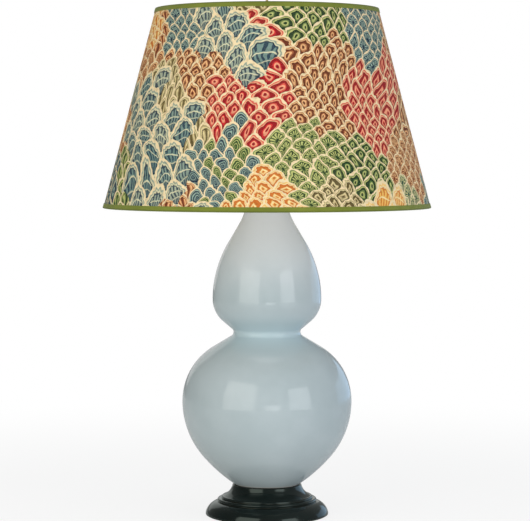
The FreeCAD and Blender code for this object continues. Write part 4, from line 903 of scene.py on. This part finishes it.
def studio_light():
    """Soft light, brighter in front, above and on the right than behind and on the left, and
    bluer from the right, with the softboxes in it."""
    world = bpy.data.worlds.new("studio")
    bpy.context.scene.world = world
    g = Graph("studio", world)
    x, y, z = g.split(g.node("TexCoord").outputs["Generated"])
    level = g.spread(z * 0.7 - y * 0.7, -0.8, 0.9, 0.12, 0.4) * g.spread(x, -1.0, 1.0, 0.5, 1.45)
    tint = g.mix(g.spread(x, -1.0, 1.0), (0.97, 1.0, 0.96, 1.0), (0.9, 0.96, 1.0, 1.0))
    light = g.node("Background", {0: tint, 1: level})
    white = g.node("Background", {0: WHITE, 1: 1.0})
    blend = g.node("MixShader", {0: background_share(g), 1: light.outputs[0], 2: white.outputs[0]})
    g.tree.links.new(blend.outputs[0], g.tree.nodes["World Output"].inputs["Surface"])

    for box in SOFTBOXES:
        softbox(*box)


def studio_camera():
    data = bpy.data.cameras.new("camera")
    data.sensor_width = 36.0
    data.sensor_fit = "HORIZONTAL"
    data.lens = FOCAL_PIXELS / IMAGE_WIDTH * data.sensor_width
    camera = bpy.data.objects.new("camera", data)
    camera.location = (CAMERA_ASIDE, -CAMERA_DISTANCE, CAMERA_HEIGHT)
    camera.rotation_euler = (math.pi / 2 - CAMERA_PITCH, 0.0, 0.0)
    bpy.context.scene.collection.objects.link(camera)
    bpy.context.scene.camera = camera


# ---------------------------------------------------------------- build

dress(glaze(), "gourd_body", "gourd_shoulder", "gourd_top")
dress(bronze(), "foot")
dress(dull_rubber(), "seat_gasket", "neck_gasket")
dress(phenolic(), "cord_bushing", "holder_core", "switch_knob", "bulb_insulator")
dress(fibre_card(), "holder_liner")
dress(frosted_glass(), "bulb_glass")
dress(powder_coat(), "bottom_ring")
dress(backing(), "shade_backing")
dress(
    brushed_metal("antique_brass", srgb(186, 158, 104), srgb(150, 120, 74), srgb(214, 190, 138)),
    "neck_cap", "neck_column", "holder_cap", "holder_shell", "harp", "harp_saddle",
    "right_sleeve", "left_sleeve", "finial_foot", "finial_knob", "top_frame",
)
dress(
    brushed_metal("yellow_brass", srgb(222, 190, 120), srgb(196, 160, 92), srgb(240, 218, 160)),
    "centre_contact", "bulb_contact",
)
dress(
    brushed_metal(
        "zinc_steel", srgb(186, 188, 190), srgb(150, 153, 156), srgb(216, 216, 214), around=False
    ),
    "clamp_plate", "lock_washer", "bottom_nut", "neck_nut", "cap_set_screw", "terminal_screws",
)
dress(
    brushed_metal(
        "stem_steel", srgb(196, 188, 160), srgb(160, 152, 126), srgb(220, 214, 192), around=False
    ),
    "switch_stem",
)
for name, metal, light, dark, pitch, depth in (
    ("threaded_pipe", "pipe_thread", srgb(190, 191, 192), srgb(120, 122, 124), PIPE_THREAD, 0.0006),
    ("harp_stud", "stud_thread", srgb(186, 158, 104), srgb(126, 98, 58), PIPE_THREAD, 0.0005),
    ("bulb_cap", "cap_thread", srgb(206, 206, 204), srgb(150, 150, 150), BULB_THREAD, 0.0012),
    ("screw_shell", "shell_thread", srgb(222, 190, 120), srgb(170, 134, 76), BULB_THREAD, 0.0012),
):
    dress(threaded_metal(metal, light, dark, pitch, depth), name)

tape = tape_cloth()
tapes = [edge_tape("top_tape", True, tape), edge_tape("bottom_tape", False, tape)]
shade_cover(printed_linen())
felt_pad(felt())

studio_floor()
studio_light()
studio_camera()
bpy.context.scene.view_settings.view_transform = "Standard"
